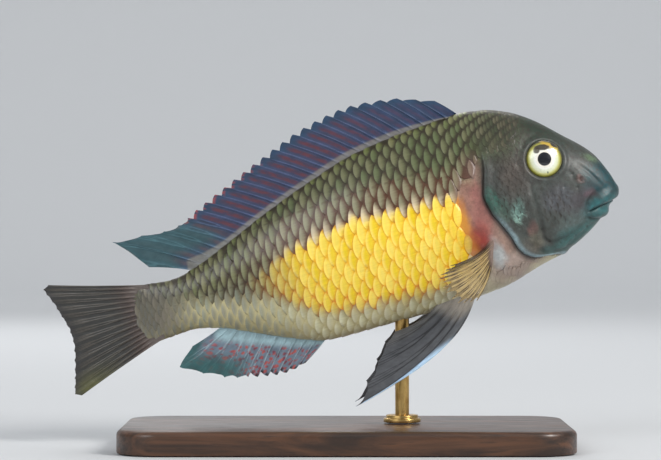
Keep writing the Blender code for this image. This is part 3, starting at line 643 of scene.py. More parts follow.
skinLook = {
    "ringPoints": 360,
    "headRings": 152,
    "trunkRings": 66,
    "edge": ((0.0, 0.02), (0.1, 0.12), (0.08, 0.3), (-0.8, 0.42)),
    "pocket": (-0.8, -0.3),
    "upperLip": ((7.9, 4.75, -8.6), (6.5, 4.65, -8.0), (5.1, 4.35, -7.5), (3.3, 3.3, -7.0), (2.3, 1.9, -6.75),
                 (1.95, 0.0, -6.65)),
    "upperLipRadius": (0.2, 0.75, 1.15, 1.5, 1.7, 1.75),
    "lowerLip": ((8.0, 4.5, -9.7), (7.0, 4.1, -9.95), (5.8, 3.2, -10.05), (4.9, 1.6, -10.0),
                 (4.6, 0.0, -9.95)),
    "lowerLipRadius": (0.2, 0.6, 0.9, 1.1, 1.15),
    "lipBlend": 0.9,
    "slitHeight": -8.2,
    "slitSlope": -0.112,
    "slitWidth": 0.16,
    "slitDepth": 0.75,
    "slitEnd": (7.2, 8.6),
    "eyeCentre": (13.85, 4.4),
    "eyeReach": 3.78,
    "socketDepth": 1.5,
    "rim": (0.2, 4.5, 0.6),
    "rimDip": (0.03, 5.6, 0.5),
    "coverSwell": (0.3, (22.5, -4.0), (4.5, 6.5)),
    "cheekSwell": (0.18, (13.5, -6.5), (3.6, 4.0)),
    "mouthMiddle": (9.0, 0.0, -8.6),
    "lipSteps": 28,
    "lipStart": 2.8,
    "firstRing": 0.2,
    "pores": ((18.9, -9.6), (18.1, -12.6), (15.8, -13.7), (12.2, -13.2), (9.2, -12.1), (9.0, -0.4),
              (8.9, -3.4), (11.6, -2.4), (19.6, 5.2), (17.4, 8.2)),
    "nostril": (7.6, -1.95),
    "smallScales": (((14.4, -6.2), (4.6, 4.8), 10.0, 0.5), ((22.6, 0.0), (5.2, 10.5), 4.0, 0.5),
                    ((19.6, 10.0), (5.5, 6.5), 30.0, 0.5)),
}

# furrows and ridges on the side of the head: points (u, h), depth, half width
headLines = (
    (((18.2, 0.4), (18.6, -2.2), (18.5, -5.6), (18.7, -8.9), (19.0, -11.4), (17.6, -13.0), (14.9, -13.0),
      (11.3, -12.0), (8.4, -10.8)), -0.34, 0.5),
    (((19.3, -2.0), (19.6, -5.6), (19.8, -8.8), (20.2, -11.8), (18.9, -14.2)), 0.26, 0.75),
    (((16.4, -1.8), (16.6, -4.6), (16.2, -7.6), (15.6, -10.2)), -0.12, 0.4),
    (((14.6, -2.2), (14.9, -4.8), (14.5, -7.4), (13.7, -9.6)), -0.12, 0.38),
    (((12.6, -2.0), (12.9, -4.4), (12.5, -6.6), (11.6, -8.6)), -0.11, 0.38),
    (((9.6, 0.2), (8.9, -2.6), (9.0, -5.4), (9.9, -8.2)), -0.12, 0.45),
    (((17.0, -14.6), (13.4, -14.2), (9.8, -12.8)), 0.16, 0.5),
    (((5.2, -5.4), (6.6, -6.3), (7.9, -7.6), (8.7, -9.3)), -0.42, 0.4),
    (((5.9, -11.1), (7.6, -10.9), (9.0, -10.0)), -0.32, 0.34),
    (((7.8, -11.7), (12.0, -13.6), (15.6, -14.9)), -0.28, 0.36),
    (((20.6, 2.0), (22.2, -1.2), (22.4, -4.5), (21.6, -8.0)), -0.16, 0.6),
    (((7.4, 1.4), (5.6, -1.0), (4.2, -3.6), (3.4, -5.2)), -0.14, 0.45),
)


def lineOf(points, count=60):  # a smooth line through (u, h) points, as dense points
    rows = [(i, *point) for i, point in enumerate(points)]
    spots = np.linspace(0, len(rows) - 1, count)
    return np.stack([readCurve(rows, spots, column) for column in range(1, len(points[0]) + 1)], axis=1)


def lipDistance(spots, knots, radii):  # how far each spot is from the lip's round bar
    whole = lineOf([(*knot, radius) for knot, radius in zip(knots, radii)], 26)
    mirrored = np.array([1.0, -1.0, 1.0, 1.0])
    line = np.concatenate([whole, (whole * mirrored)[::-1]])
    starts, ends = line[:-1], line[1:]
    best = np.full(len(spots), 1e9)
    for start, end in zip(starts, ends):
        step = end[:3] - start[:3]
        share = np.clip((spots - start[:3]) @ step / max(step @ step, 1e-9), 0.0, 1.0)
        near = start[:3] + share[:, None] * step
        radius = start[3] + share * (end[3] - start[3])
        best = np.minimum(best, np.linalg.norm(spots - near, axis=1) - radius)
    return best


def softUnion(a, b, blend):
    return np.minimum(a, b) - np.maximum(blend - np.abs(a - b), 0.0) ** 2 / (4 * blend)


def raiseLips(spots, normals):
    near = spots[:, 0] < 11.5
    start, way = spots[near], normals[near]
    out = np.full(len(start), skinLook["lipStart"])
    for _ in range(skinLook["lipSteps"]):
        here = start + way * out[:, None]
        lips = np.minimum(
            lipDistance(here, skinLook["upperLip"], skinLook["upperLipRadius"]),
            lipDistance(here, skinLook["lowerLip"], skinLook["lowerLipRadius"]),
        )
        out -= 0.85 * softUnion(out, lips, skinLook["lipBlend"])
    raised = spots.copy()
    raised[near] = start + way * np.maximum(out, 0.0)[:, None]
    return raised


def bump(distance, width):
    return np.exp(-((distance / width) ** 2))


def sculptHead(spots, normals):  # pushes the skin in and out along its normals, and gives the painted shade in its pores, furrows and mouth slit
    u, h = spots[:, 0], spots[:, 2]
    spots = raiseLips(spots, normals)
    push = np.zeros(len(u))
    onHead = fade(u, 31.0, 29.0)

    eyeU, eyeH = skinLook["eyeCentre"]
    ring = np.hypot(u - eyeU, h - eyeH)
    for sign, key in ((1, "rim"), (-1, "rimDip")):
        rise, reach, width = skinLook[key]
        push += sign * rise * bump(ring - reach, width)
    push -= skinLook["socketDepth"] * fade(ring, skinLook["eyeReach"] + 0.4, skinLook["eyeReach"] - 0.6)

    nostrilU, nostrilH = skinLook["nostril"]
    ring = np.hypot((u - nostrilU) * 1.15, h - nostrilH)
    push += 0.15 * bump(ring - 0.8, 0.32) - 0.55 * bump(ring, 0.34)

    # painted shade: how dark the skin is painted in pores, furrows and the mouth slit
    foldShade = np.zeros(len(u))
    for poreU, poreH in skinLook["pores"]:
        pit = bump(np.hypot(u - poreU, h - poreH), 0.24)
        push -= 0.2 * pit
        foldShade += 0.7 * pit
    for points, depth, width in headLines:
        line = lineOf(points)
        away = np.full(len(u), 1e9)
        taper = np.zeros(len(u))
        for k, (lineU, lineH) in enumerate(line):
            here = np.hypot(u - lineU, h - lineH)
            nearer = here < away
            away = np.where(nearer, here, away)
            thin = math.sin(math.pi * min(max(k / (len(line) - 1), 0.06), 0.94)) ** 0.5
            taper = np.where(nearer, thin, taper)
        push += depth * taper * bump(away, width)
        foldShade += max(-depth, 0.0) / 0.45 * taper * bump(away, width * 1.15)

    for key, share in (("coverSwell", onHead), ("cheekSwell", 1.0)):
        rise, (atU, atH), (reachU, reachH) = skinLook[key]
        push += rise * bump(np.hypot((u - atU) / reachU, (h - atH) / reachH), 0.8) * share
    rear = behindGill(u, h)
    free = coverAt(liftOf(u, h)) * onHead
    push += (0.2 * bump(rear + 0.7, 0.8) - 0.1 * bump(rear + 2.4, 0.9)) * free  # the cover's raised margin
    shift = spots + normals * push[:, None]

    slit = shift[:, 2] - (skinLook["slitHeight"] + skinLook["slitSlope"] * shift[:, 0])
    corner = fade(shift[:, 0], skinLook["slitEnd"][1], skinLook["slitEnd"][0])
    lower = shift[:, 0] < 9.5
    groove = skinLook["slitDepth"] * bump(slit, skinLook["slitWidth"]) * corner * lower
    inward = shift - np.array(skinLook["mouthMiddle"])
    inward /= np.linalg.norm(inward, axis=1, keepdims=True)
    foldShade = np.clip(foldShade + bump(slit, 0.3) * corner * lower, 0.0, 1.0)
    return shift - inward * groove[:, None], foldShade


def buildSkin():
    count = skinLook["ringPoints"]
    angles = np.linspace(0, 2 * math.pi, count + 1)
    lift = np.arcsin(np.sin(angles)) / (math.pi / 2)
    gill = gillAt(lift)
    cover = coverAt(lift)
    rings = []
    first = skinLook["firstRing"]
    for share in np.linspace(0, 1, skinLook["headRings"]):
        u = first + (gill - first) * (0.62 * share + 0.38 * share**2)
        rings.append(fleshPoint(u - 1e-3, angles))
    spots = np.concatenate([ring[0] for ring in rings])
    normals = np.concatenate([ring[1] for ring in rings])
    sculpted, foldShade = sculptHead(spots, normals)
    rings = list(sculpted.reshape(len(rings), count + 1, 3))
    foldShade = list(foldShade.reshape(len(rings), count + 1))
    lastSpots, lastNormals = fleshPoint(gill - 1e-3, angles)
    lastPush = np.sum((rings[-1] - lastSpots) * lastNormals, axis=1)
    # foldShade: painted shadow along the gill cover's rim, in the pocket under it and on the body just behind
    # it
    for shift, depth in skinLook["edge"]:
        moved, _ = fleshPoint(np.minimum(gill + shift * cover, gill - 1e-3), angles)
        moved = moved + np.array([1.0, 0.0, 0.0]) * np.maximum(shift * cover, 0.0)[:, None]
        rings.append(moved + lastNormals * (lastPush - depth * cover)[:, None])
        foldShade.append(foldShade[-1] if shift > 0.1 else 1.9 * cover)
    for shift in skinLook["pocket"]:
        spots, _ = fleshPoint(gill + 0.06, angles)
        rings.append(spots + np.array([1.0, 0.0, 0.0]) * (shift * cover)[:, None])
        foldShade.append(1.9 * cover)
    for share in np.linspace(0, 1, skinLook["trunkRings"]) ** 1.12:
        u = gill + 0.1 + (body["end"] - gill - 0.1) * share
        spots, _ = fleshPoint(u, angles)
        rings.append(spots)
        foldShade.append(cover * bump(u - gill, 0.8 + 0.6 * fade(lift, -0.45, -0.65)) * 1.9)
    points = np.concatenate(rings)
    skin = addGrid("fish_skin", count + 1, len(rings))
    layPoints(skin, poseFish(points))
    writeMarkings(skin, points)
    writeValue(skin, "fold_shade", np.concatenate(foldShade))
    cleanMesh(skin, 0.004 * mm, True)
    smoothPiece(skin)
    return skin


def skinMaterial():
    material, bench = newMaterial("wet fish skin", Roughness=0.45, Coat_Weight=0.1, Coat_Roughness=0.22,
                                  Specular_IOR_Level=0.36, Subsurface_Weight=0.06, Subsurface_Scale=0.001)
    times, ramp = bench.times, bench.ramp
    place, flesh, lift = bench.spot("place"), bench.spot("flesh"), bench.value("lift")
    marks = bench.place(markingsGroup, Place=place, Lift=lift)
    grain = bench.place(grainGroup, Place=flesh, Size=1.25)
    cheek = bench.place(cheekGroup, Place=flesh)
    speckle = bench.noise(flesh, 1.3, 4.0, 0.65)
    dark = ramp(times(grain["Mottle"], speckle), 0.12, 0.4, 0.42, 0.0)
    freckles = times(ramp(bench.noise(flesh, 1.9, 3.0, 0.55), 0.52, 0.64), ramp(lift, -0.4, 0.4, 0.1, 0.6))
    colour = bench.layer(marks["Light"], (dark, marks["Shade"]), (freckles, marks["Shade"]))
    colour = bench.brighten(colour, ramp(bench.noise(flesh, 0.45, 5.0, 0.7), 0.35, 0.65, 0.82, 1.16))

    flat = bench.vector("MULTIPLY", place, (1.0, 1.0, 0.0))
    areas = [bench.oval(flat, *area) for area in skinLook["smallScales"]]
    small = bench.maths("MAXIMUM", bench.maths("MAXIMUM", *areas[:2]), areas[2])
    dots = times(cheek["Base"], small, ramp(speckle, 0.32, 0.56, 0.15, 0.9))
    colour = bench.layer(
        colour, (dots, marks["Shade"]), (times(marks["Yellow"], 0.75), paint["shadeYellowSkin"]),
        # painted shade in creases, pores, the mouth slit and under the gill cover's edge
        (times(bench.value("fold_shade"), 0.46), paint["furrow"]),
    )
    bench.feed({"Base Color": colour, "Roughness": ramp(speckle, 0.3, 0.7, 0.34, 0.52)})
    height = bench.plus(times(grain["Cells"], 0.35), grain["Height"])
    height = bench.plus(height, times(cheek["Rise"], small, 0.9))
    bench.relief(height, 0.4, 0.0002)
    return material


skin = buildSkin()
settle(skin, "head_skin", skinMaterial(), "head", "trunk", "tail_base")
print("skin built", len(skin.data.polygons))


# Scales: one blank, copied in staggered rows and bent to the skin

def sideTable():  # skin points and normals by u and by arc length from the widest line
    us, arcs = np.arange(*scaleCoat["tableU"]), np.arange(*scaleCoat["tableArc"])
    angles = np.radians(np.linspace(-165, 165, 331))
    spots = np.zeros((len(us), len(arcs), 3))
    normals = np.zeros_like(spots)
    tops = np.zeros((len(us), 2))
    for i, u in enumerate(us):
        ring, way = fleshPoint(np.full(len(angles), u), angles, True)
        length = np.concatenate([[0], np.cumsum(np.linalg.norm(np.diff(ring, axis=0), axis=1))])
        length -= np.interp(0.0, angles, length)
        tops[i] = np.interp([-math.pi / 2, math.pi / 2], angles, length)
        for axis in range(3):
            spots[i, :, axis] = np.interp(arcs, length, ring[:, axis])
            normals[i, :, axis] = np.interp(arcs, length, way[:, axis])
    return us, arcs, spots, normals, tops


def readTable(table, us, arcs, u, arc):
    x = np.clip((u - us[0]) / (us[1] - us[0]), 0, len(us) - 1.001)
    y = np.clip((arc - arcs[0]) / (arcs[1] - arcs[0]), 0, len(arcs) - 1.001)
    i, j = x.astype(int), y.astype(int)
    a, b = (x - i)[..., None], (y - j)[..., None]
    return (table[i, j] * (1 - a) * (1 - b) + table[i + 1, j] * a * (1 - b)
            + table[i, j + 1] * (1 - a) * b + table[i + 1, j + 1] * a * b)


def rowPlace(row, share):  # arc length from the widest line to a row
    return float(readCurve(scaleCoat["rowPlaces"], row)) * share


def scaleBlank():  # one scale: straight sides at its root, a round rear edge, thin
    across, along = scaleCoat["blankAcross"], scaleCoat["blankAlong"]
    blank = addGrid("scale_blank", across, along)
    b = np.tile(np.sin(np.linspace(-1, 1, across) * math.pi / 2), along)
    a = np.repeat(np.linspace(0, 1, along) ** 0.85, across)
    start = scaleCoat["roundFrom"]
    end = start + (1 - start) * np.sqrt(np.maximum(1 - b * b, 0.0))
    x = a * end
    y = b * (1 - scaleCoat["rootNarrow"] * fade(a, 0.6, 0.0))
    rise = scaleCoat["rootSink"] + scaleCoat["rearRise"]
    z = -scaleCoat["rootSink"] + rise * x - scaleCoat["rearCurl"] * x**5
    layPoints(blank, np.stack([x, y, z], axis=1))
    wall = blank.modifiers.new("wall", "SOLIDIFY")
    wall.thickness = scaleCoat["thickness"]
    wall.offset = -1.0
    applyAll(blank)
    cleanMesh(blank, 1e-5)
    return blank


def scalePlaces(us, tops):
    random = np.random.default_rng(scaleCoat["seed"])
    places = []
    tailEnd, curve = scaleCoat["tailEnd"]
    u, column = scaleCoat["firstColumn"], 0
    while u < scaleCoat["lastColumn"]:
        pitch = scaleCoat["pitch"] * float(readCurve(scaleCoat["pitchShare"], u))
        for row in range(-scaleCoat["rows"], scaleCoat["rows"] + 1):
            spot = u + (pitch / 2 if row % 2 else 0.0)
            share = float(readCurve(scaleCoat["rowShare"], spot))
            arc = rowPlace(row, share)
            high = rowPlace(row + 0.5, share) - rowPlace(row - 0.5, share)
            spot -= scaleCoat["lean"] * arc
            low, top = np.interp(spot, us, tops[:, 0]), np.interp(spot, us, tops[:, 1])
            margin = scaleCoat["edgeMargin"] * high
            if low + margin < arc < top - margin and spot < tailEnd - curve * abs(arc / max(top, 1.0)) ** 2:
                twist, chance = random.uniform(-1, 1), random.uniform(-1, 1)
                places.append((spot, arc, pitch, high, twist, chance, column, row))
        u += pitch
        column += 1
    return places


def buildScales():
    us, arcs, spots, normals, tops = sideTable()
    blank = scaleBlank()
    shape = readPoints(blank)
    faces = [tuple(p.vertices) for p in blank.data.polygons]
    places = scalePlaces(us, tops)
    made = []
    for side in (1, -1):
        rows = []
        taken = set()
        for u, arc, pitch, high, twist, chance, column, row in places:
            length = pitch * scaleCoat["length"]
            centre = readTable(spots, us, arcs, np.array(u), np.array(arc))
            lift = float(liftOf(centre[0], centre[2]))
            gill = float(u - gillAt(lift))
            nape = float(fade(lift, 0.26, 0.42)) * float(fade(pastNape(u, lift), 0.0, 1.0))
            bare = bareShare(centre[0], centre[2]) > 0.5
            if (gill < 0.4 and nape < 0.5) or bare:
                continue
            taken.add((column, row))
            edge = float(fade(lift, 0.3, 0.56) if gill < 2.0 else 1.0)  # scales dwindle towards the cheek
            length, high = length * (0.6 + 0.4 * edge), high * (0.6 + 0.4 * edge)
            tube = any(row == line and start < u < end for line, start, end in scaleCoat["lateralRows"])
            rows.append((u, arc, pitch, high, twist, chance, length, lift, centre, tube, column, row))
        rows = [(*some[:10], (some[10] - 1, some[11]) not in taken) for some in rows]
        rows.sort(key=lambda some: some[0])
        share = math.ceil(len(rows) / scaleCoat["pieces"] * 2)
        for part in range(scaleCoat["pieces"] // 2):
            some = rows[part * share:(part + 1) * share]
            name = f"scales_{'left' if side > 0 else 'right'}_{('front', 'rear')[part]}"
            made.append(joinScales(name, some, side, shape, faces, (us, arcs, spots, normals)))
    bpy.data.objects.remove(blank, do_unlink=True)
    return made


def leadShape(a, b, z, sink):  # a scale with none ahead of it: only its light lens rises from the skin
    start, bow = scaleCoat["leadFrom"]
    end = scaleCoat["roundFrom"] + (1 - scaleCoat["roundFrom"]) * np.sqrt(np.maximum(1 - b * b, 0.0))
    front = np.minimum(start + bow * b * b, end - 0.02)
    moved = front + np.clip(a / end, 0.0, 1.0) * (end - front)
    rise = scaleCoat["rootSink"] + scaleCoat["rearRise"]
    z = z + rise * (moved - a) - scaleCoat["rearCurl"] * (moved**5 - a**5)
    return moved, z - sink * fade(moved - front, 0.22, 0.0)


def joinScales(name, rows, side, shape, faces, table):
    us, arcs, spots, normals = table
    count = len(shape)
    kept = {key: [] for key in ("points", "patches", "home", "local", "lift", "plain", "tube")}
    for u, arc, pitch, high, twist, chance, length, lift, centre, tube, leading in rows:
        turn = twist * scaleCoat["turn"]
        gill = float(u - gillAt(lift))
        a, b, z = shape.T
        small = pitch / scaleCoat["pitch"]
        z = z - scaleCoat["rootDrop"] * small * fade(a, 0.38, 0.08)  # the root lies hidden under the skin
        if leading:
            a, z = leadShape(*shape.T, scaleCoat["leadSink"] * small)
        root = u - length * scaleCoat["rootShare"]
        x = (a - 0.5) * length
        y = b * high * scaleCoat["height"]
        x, y = x * math.cos(turn) - y * math.sin(turn), x * math.sin(turn) + y * math.cos(turn)
        x = x - scaleCoat["lean"] * y
        here, way = [readTable(grid, us, arcs, root + 0.5 * length + x, arc + y) for grid in (spots, normals)]
        way /= np.linalg.norm(way, axis=1, keepdims=True)
        size = small * float(fade(u, 16.0, 24.0) * 0.5 + 0.5)
        height = (z * (1 + 0.12 * chance) + scaleCoat["thickness"]) * size
        moved = here + way * height[:, None]
        moved[:, 1] *= side
        mixed = here * (1 - scaleCoat["ownTone"]) + centre * scaleCoat["ownTone"]
        onBreast = float(fade(lift, -0.45, -0.7) * fade(u, 40.0, 34.0))
        onNape = float(fade(lift, 0.6, 0.36) * fade(gill, 3.0, 1.0))
        onFront = max(float(fade(u, 25.0, 14.0)) * 0.6, 0.4 * leading)
        (wide, tall), (reachU, reachArc) = scaleCoat["patchSize"], scaleCoat["patchReach"]
        middle = (root / reachU, (0.25 if side > 0 else 0.75) + arc / reachArc)
        for key, values in {
            "points": poseFish(moved),
            "home": np.stack([mixed[:, 0], mixed[:, 2], behindGill(mixed[:, 0], mixed[:, 2])], axis=1),
            "local": np.stack([a, b, np.full(count, chance)], axis=1),
            "lift": liftOf(mixed[:, 0], mixed[:, 2]),
            "plain": np.full(count, max(onBreast * 0.8, onNape * 0.75, onFront)),
            "tube": np.full(count, float(tube)),
            "patches": np.stack([middle[0] + (a - 0.5) * wide, middle[1] + b * tall], axis=1),
        }.items():
            kept[key].append(values)
    kept = {key: np.concatenate(values) for key, values in kept.items()}
    allFaces = [[v + k * count for v in face][::side] for k in range(len(rows)) for face in faces]
    mesh = bpy.data.meshes.new(name)
    mesh.from_pydata(kept["points"].tolist(), [], allFaces)
    piece = bpy.data.objects.new(name, mesh)
    bpy.context.scene.collection.objects.link(piece)
    for key in ("home", "local", "lift", "plain", "tube"):
        writeValue(piece, key, kept[key])
    layer = mesh.uv_layers.new(name="OFBake")
    corners = np.zeros(len(mesh.loops), np.int32)
    mesh.loops.foreach_get("vertex_index", corners)
    layer.data.foreach_set("uv", kept["patches"][corners].astype(np.float32).ravel())
    smoothPiece(piece, 50)
    return piece


def buildScalePattern():  # how far a point lies inside the scale's light lens, and ahead of its rear edge
    group, taken, bench = newGroup("scale pattern", {"Along": "Float", "Across": "Float"},
                                   {"In Lens": "Float", "To Rear": "Float"})
    along, start = taken["Along"], scaleCoat["roundFrom"]
    square = bench.times(taken["Across"], taken["Across"])
    apex, bow = scaleCoat["lens"]
    front = bench.plus(apex, bench.times(square, bow))
    arch = bench.maths("SQRT", bench.maths("MAXIMUM", bench.less(1.0, square), 0.0))
    rear = bench.plus(start, bench.times(arch, 1 - start))
    bench.feed({"In Lens": bench.less(along, front), "To Rear": bench.less(rear, along)})
    return group


scaleGroup = buildScalePattern()


def scaleMaterial():
    material, bench = newMaterial("fish scale", Roughness=0.36, Coat_Weight=0.2, Coat_Roughness=0.18,
                                  Specular_IOR_Level=0.4)
    times, ramp, less, plus = bench.times, bench.ramp, bench.less, bench.plus
    marks = bench.place(markingsGroup, Place=bench.spot("home"), Lift=bench.value("lift"))
    yellow, plain = marks["Yellow"], bench.value("plain")
    a, b, chance = bench.split(bench.spot("local"))
    grain = bench.noise(bench.combine(times(a, 2.0), times(b, 9.0), times(chance, 40.0)), 1.0, 3.0, 0.6)
    pattern = bench.place(scaleGroup, Along=a, Across=b)
    wobble = times(less(grain, 0.5), 0.1)
    inLens = plus(pattern["In Lens"], wobble)
    toRear = plus(pattern["To Rear"], times(wobble, 0.4))

    # dark base to light lens, softer in the yellow and plainer where the photo shows plain scales
    light = bench.blend(yellow, ramp(inLens, -0.06, 0.22), ramp(inLens, -0.14, 0.1))
    light = bench.blend(plain, light, 0.55)
    warm = bench.maths("SUBTRACT", ramp(chance, -0.7, 0.9, 0.0, 0.32), yellow, True)
    colour = bench.layer(marks["Shade"], (light, marks["Light"]), (times(warm, light), paint["warm"]))
    # rear part of the lens painted paler: partly the scale's own paler rim, partly a painted highlight
    paleRimAndHighlight = times(light, ramp(toRear, 0.2, 0.03, 0.0, 0.4), less(1.0, plain))
    colour = bench.layer(colour, (paleRimAndHighlight, bench.brighten(colour, 1.4, 0.75)))
    cream = times(ramp(chance, -0.9, 1.0, 0.0, 0.65), yellow, light, ramp(toRear, 0.02, 0.2))
    # painted shadow: a thin dark line along each scale's rear edge
    rear = times(ramp(toRear, 0.035, 0.012), less(0.5, times(yellow, 0.4)))
    canal = times(ramp(bench.maths("ABSOLUTE", b), 0.11, 0.04),
                  ramp(bench.maths("ABSOLUTE", less(a, 0.78)), 0.16, 0.05), bench.value("tube"))
    colour = bench.layer(colour, (cream, paint["yellowPale"]), (rear, marks["Shade"]),
                         (times(canal, 0.4), marks["Shade"]))
    value = plus(plus(0.93, times(chance, 0.07)), times(less(grain, 0.5), 0.3))
    bench.feed({"Base Color": bench.brighten(colour, value), "Roughness": ramp(grain, 0.3, 0.7, 0.28, 0.46)})
    rings = plus(bench.maths("SINE", times(a, 70.0)), times(canal, 18.0))
    bench.relief(plus(times(rings, 0.1), times(grain, 0.7)), 0.22, 0.00012)
    return material


scalePieces = buildScales()
scaleFinish = scaleMaterial()
for piece in scalePieces:
    settle(piece, "body_skin", scaleFinish)
    print("scales built", piece.name, len(piece.data.polygons))


# Eyes: a domed, glossy eyeball with iris and pupil, turned a little up and forward

eyeLook = {
    "radius": 4.16,
    "depth": 1.85,
    "standsOut": 0.9,
    "lensBulge": (0.08, 1.7),
    "pupilEdge": (1.62, 1.75),
    "tiltUp": 4.0,
    "tiltForward": 3.0,
    "rings": ((0.0, (6, 8, 16)), (0.335, (8, 11, 22)), (0.36, (246, 240, 226)), (0.5, (250, 250, 240)),
              (0.56, (234, 238, 216)), (0.68, (224, 228, 188)), (0.76, (204, 202, 116)),
              (0.83, (158, 154, 58)), (0.88, (120, 116, 48)), (0.93, (52, 50, 30))),
    "spots": (
        ((1.7, 2.6), (2.3, 0.8), -42.0, 0.6, 0.9, (206, 168, 58)),
        ((3.1, 1.2), (0.6, 1.8), -18.0, 0.7, 0.7, (198, 172, 76)),
        ((0.35, 2.6), (1.9, 0.8), -16.0, 0.3, 0.96, (48, 38, 22)),
        ((-1.0, 2.3), (0.8, 0.95), -40.0, 0.35, 0.9, (56, 44, 28)),
        ((2.9, 2.2), (1.1, 0.42), -48.0, 0.4, 0.95, (30, 30, 30)),
        ((-0.2, -2.9), (0.24, 0.3), 0.0, 0.5, 0.8, (60, 76, 60)),
    ),
}


def buildEye(name, side):
    u, h = skinLook["eyeCentre"]
    tilt = Matrix.Rotation(math.radians(side * eyeLook["tiltUp"]), 4, "X")
    turn = Matrix.Rotation(math.radians(-side * eyeLook["tiltForward"]), 4, "Z") @ tilt
    out = turn @ Vector((0.0, side, 0.0))
    deselectAll()
    bpy.ops.mesh.primitive_uv_sphere_add(segments=96, ring_count=48, radius=1.0)
    eye = bpy.context.object
    eye.name = name
    eye.data.name = name
    points = readPoints(eye)[:, [0, 2, 1]] * np.array([1.0, side, 1.0])  # the pole looks outwards
    local = points * eyeLook["radius"]
    away = np.hypot(local[:, 0], local[:, 2])
    dome = points[:, 1] * side * eyeLook["depth"]
    rise, reach = eyeLook["lensBulge"]
    dome = np.where(dome > 0, dome + rise * bump(away, reach), dome)  # the lens bulges through the pupil
    shaped = np.stack([local[:, 0], dome * side, local[:, 2]], axis=1)
    straight = np.array([[*(turn @ Vector(p))] for p in shaped])
    centre = np.array([u, side * float(skinSide(u, h)), h])
    flip = np.array([-1.0, 1.0, 1.0])
    centre = centre + np.array([*out]) * flip * (eyeLook["standsOut"] - eyeLook["depth"])
    spots = centre + straight * flip
    layPoints(eye, poseFish(spots))
    writeValue(eye, "eyePlace", np.stack([local[:, 0], local[:, 2], np.zeros(len(local))], axis=1))
    cleanMesh(eye)
    smoothPiece(eye)
    return eye


def eyeMaterial():
    material, bench = newMaterial("fish eye", Roughness=0.25, Coat_Weight=1.0, Coat_Roughness=0.02,
                                  Specular_IOR_Level=0.5)
    flat = bench.spot("eyePlace")
    moved = bench.vector("MULTIPLY", bench.wander(flat, 0.9, 2.0, 0.5), (1.0, 1.0, 0.0))
    away = bench.vector("LENGTH", flat)
    ramp = bench.add("ValToRGB", {0: bench.maths("DIVIDE", away, eyeLook["radius"])})
    stops = ramp.color_ramp.elements
    while len(stops) < len(eyeLook["rings"]):
        stops.new(0.5)
    for stop, (spot, colour) in zip(stops, eyeLook["rings"]):
        stop.position, stop.color = spot, tone(*colour)
    colour = ramp.outputs[0]
    outsidePupil = bench.ramp(away, *eyeLook["pupilEdge"])
    for at, reach, turn, soft, strength, spotTone in eyeLook["spots"]:
        mask = bench.times(bench.oval(moved, at, reach, turn, soft, strength), outsidePupil)
        colour = bench.layer(colour, (mask, tone(*spotTone)))
    fibres = bench.noise(flat, 2.6, 4.0, 0.7, 1.5)
    bench.feed({"Base Color": bench.brighten(colour, bench.ramp(fibres, 0.3, 0.7, 0.86, 1.06))})
    bench.relief(fibres, 0.15, 0.0002)
    return material


eyeFinish = eyeMaterial()
for word, side in (("left", 1), ("right", -1)):
    settle(buildEye(f"eyeball_{word}", side), "eye", eyeFinish, f"eye_{word}")
print("eyes built")


# Fins: thin sheets with round rays that taper, and branch where they are soft.
# A layer of paint: its tone, or two tones and what blends them, then its masks: value, from, to, bottom, top

dorsalLook = {
    "spines": 21, "soft": 6, "from": 28.4, "to": 93.3, "edge": "back",
    "reach": ((0.0, 3.4, 4.0), (0.1, 6.5, 7.6), (0.22, 8.6, 8.9), (0.46, 9.7, 7.6), (0.69, 9.5, 6.8),
              (0.85, 9.3, 6.7), (0.92, 12.2, 8.8), (0.96, 16.6, 10.3), (0.98, 12.6, 7.6), (1.0, 8.2, 3.4)),
    "along": 30, "perGap": 14, "notch": (0.11, 0.04), "rootThick": 1.3, "billow": 0.12,
    "fray": 0.025, "seed": 3,
    "membrane": (54, 64, 94), "ray": (76, 88, 124), "joints": 9.0, "alpha": 0.92,
    "layers": (
        ((96, 46, 54), ("between", 0.4, 0.85, 0.0, 0.85), ("mottle", 0.36, 0.56, 0.35, 1.0),
         ("share", 0.12, 0.3), ("toEdge", 0.6, 2.2)),
        ((36, 62, 96), ("across", 11.0, 1.0, 0.0, 0.7)),
        ((34, 66, 94), ("toEdge", 3.2, 0.4, 0.0, 0.8)),
        ((184, 70, 52), ("toEdge", 0.9, 0.25), ("across", 12.0, 17.0, 0.0, 0.55), ("mottle", 0.42, 0.55)),
        (((50, 88, 94), (66, 106, 112), ("ray", 0.15, 0.7)), ("across", 20.6, 22.6),
         ("share", 0.2, 0.5, 0.35, 0.9)),
        ((136, 130, 116), ("share", 0.24, 0.19, 0.0, 0.6)),
    ),
}
analLook = {
    "spines": 6, "soft": 6, "from": 70.2, "to": 91.2, "edge": "belly",
    "reach": ((0.0, 5.3, -3.2), (0.2, 6.0, -5.6), (0.45, 6.4, -7.0), (0.7, 7.4, -8.0), (0.86, 11.0, -6.0),
              (0.94, 13.0, -3.8), (1.0, 6.6, -2.0)),
    "along": 28, "perGap": 18, "notch": (0.12, 0.04), "rootThick": 1.3, "billow": 0.12,
    "fray": 0.025, "seed": 4,
    "membrane": (112, 128, 144), "ray": (142, 162, 174), "joints": 9.0, "alpha": 0.92,
    "spots": (2.0, 0.86, 0.9),
    "layers": (
        ((164, 194, 202), ("share", 0.42, 0.26)),
        (((132, 46, 70), (190, 76, 62), ("mottle", 0.35, 0.65)), ("spots", 0.5, 0.26), ("between", 0.0, 0.22),
         ("share", 0.3, 0.42, 0.0, 0.88), ("across", 10.8, 9.0, 0.25, 1.0)),
        ((34, 92, 92), ("across", 5.2, 8.2, 0.0, 0.9), ("share", 0.45, 0.8)),
        ((26, 28, 34), ("toEdge", 1.1, 0.35), ("across", 6.4, 5.4), ("between", 0.9, 0.5, 0.0, 0.92)),
    ),
}
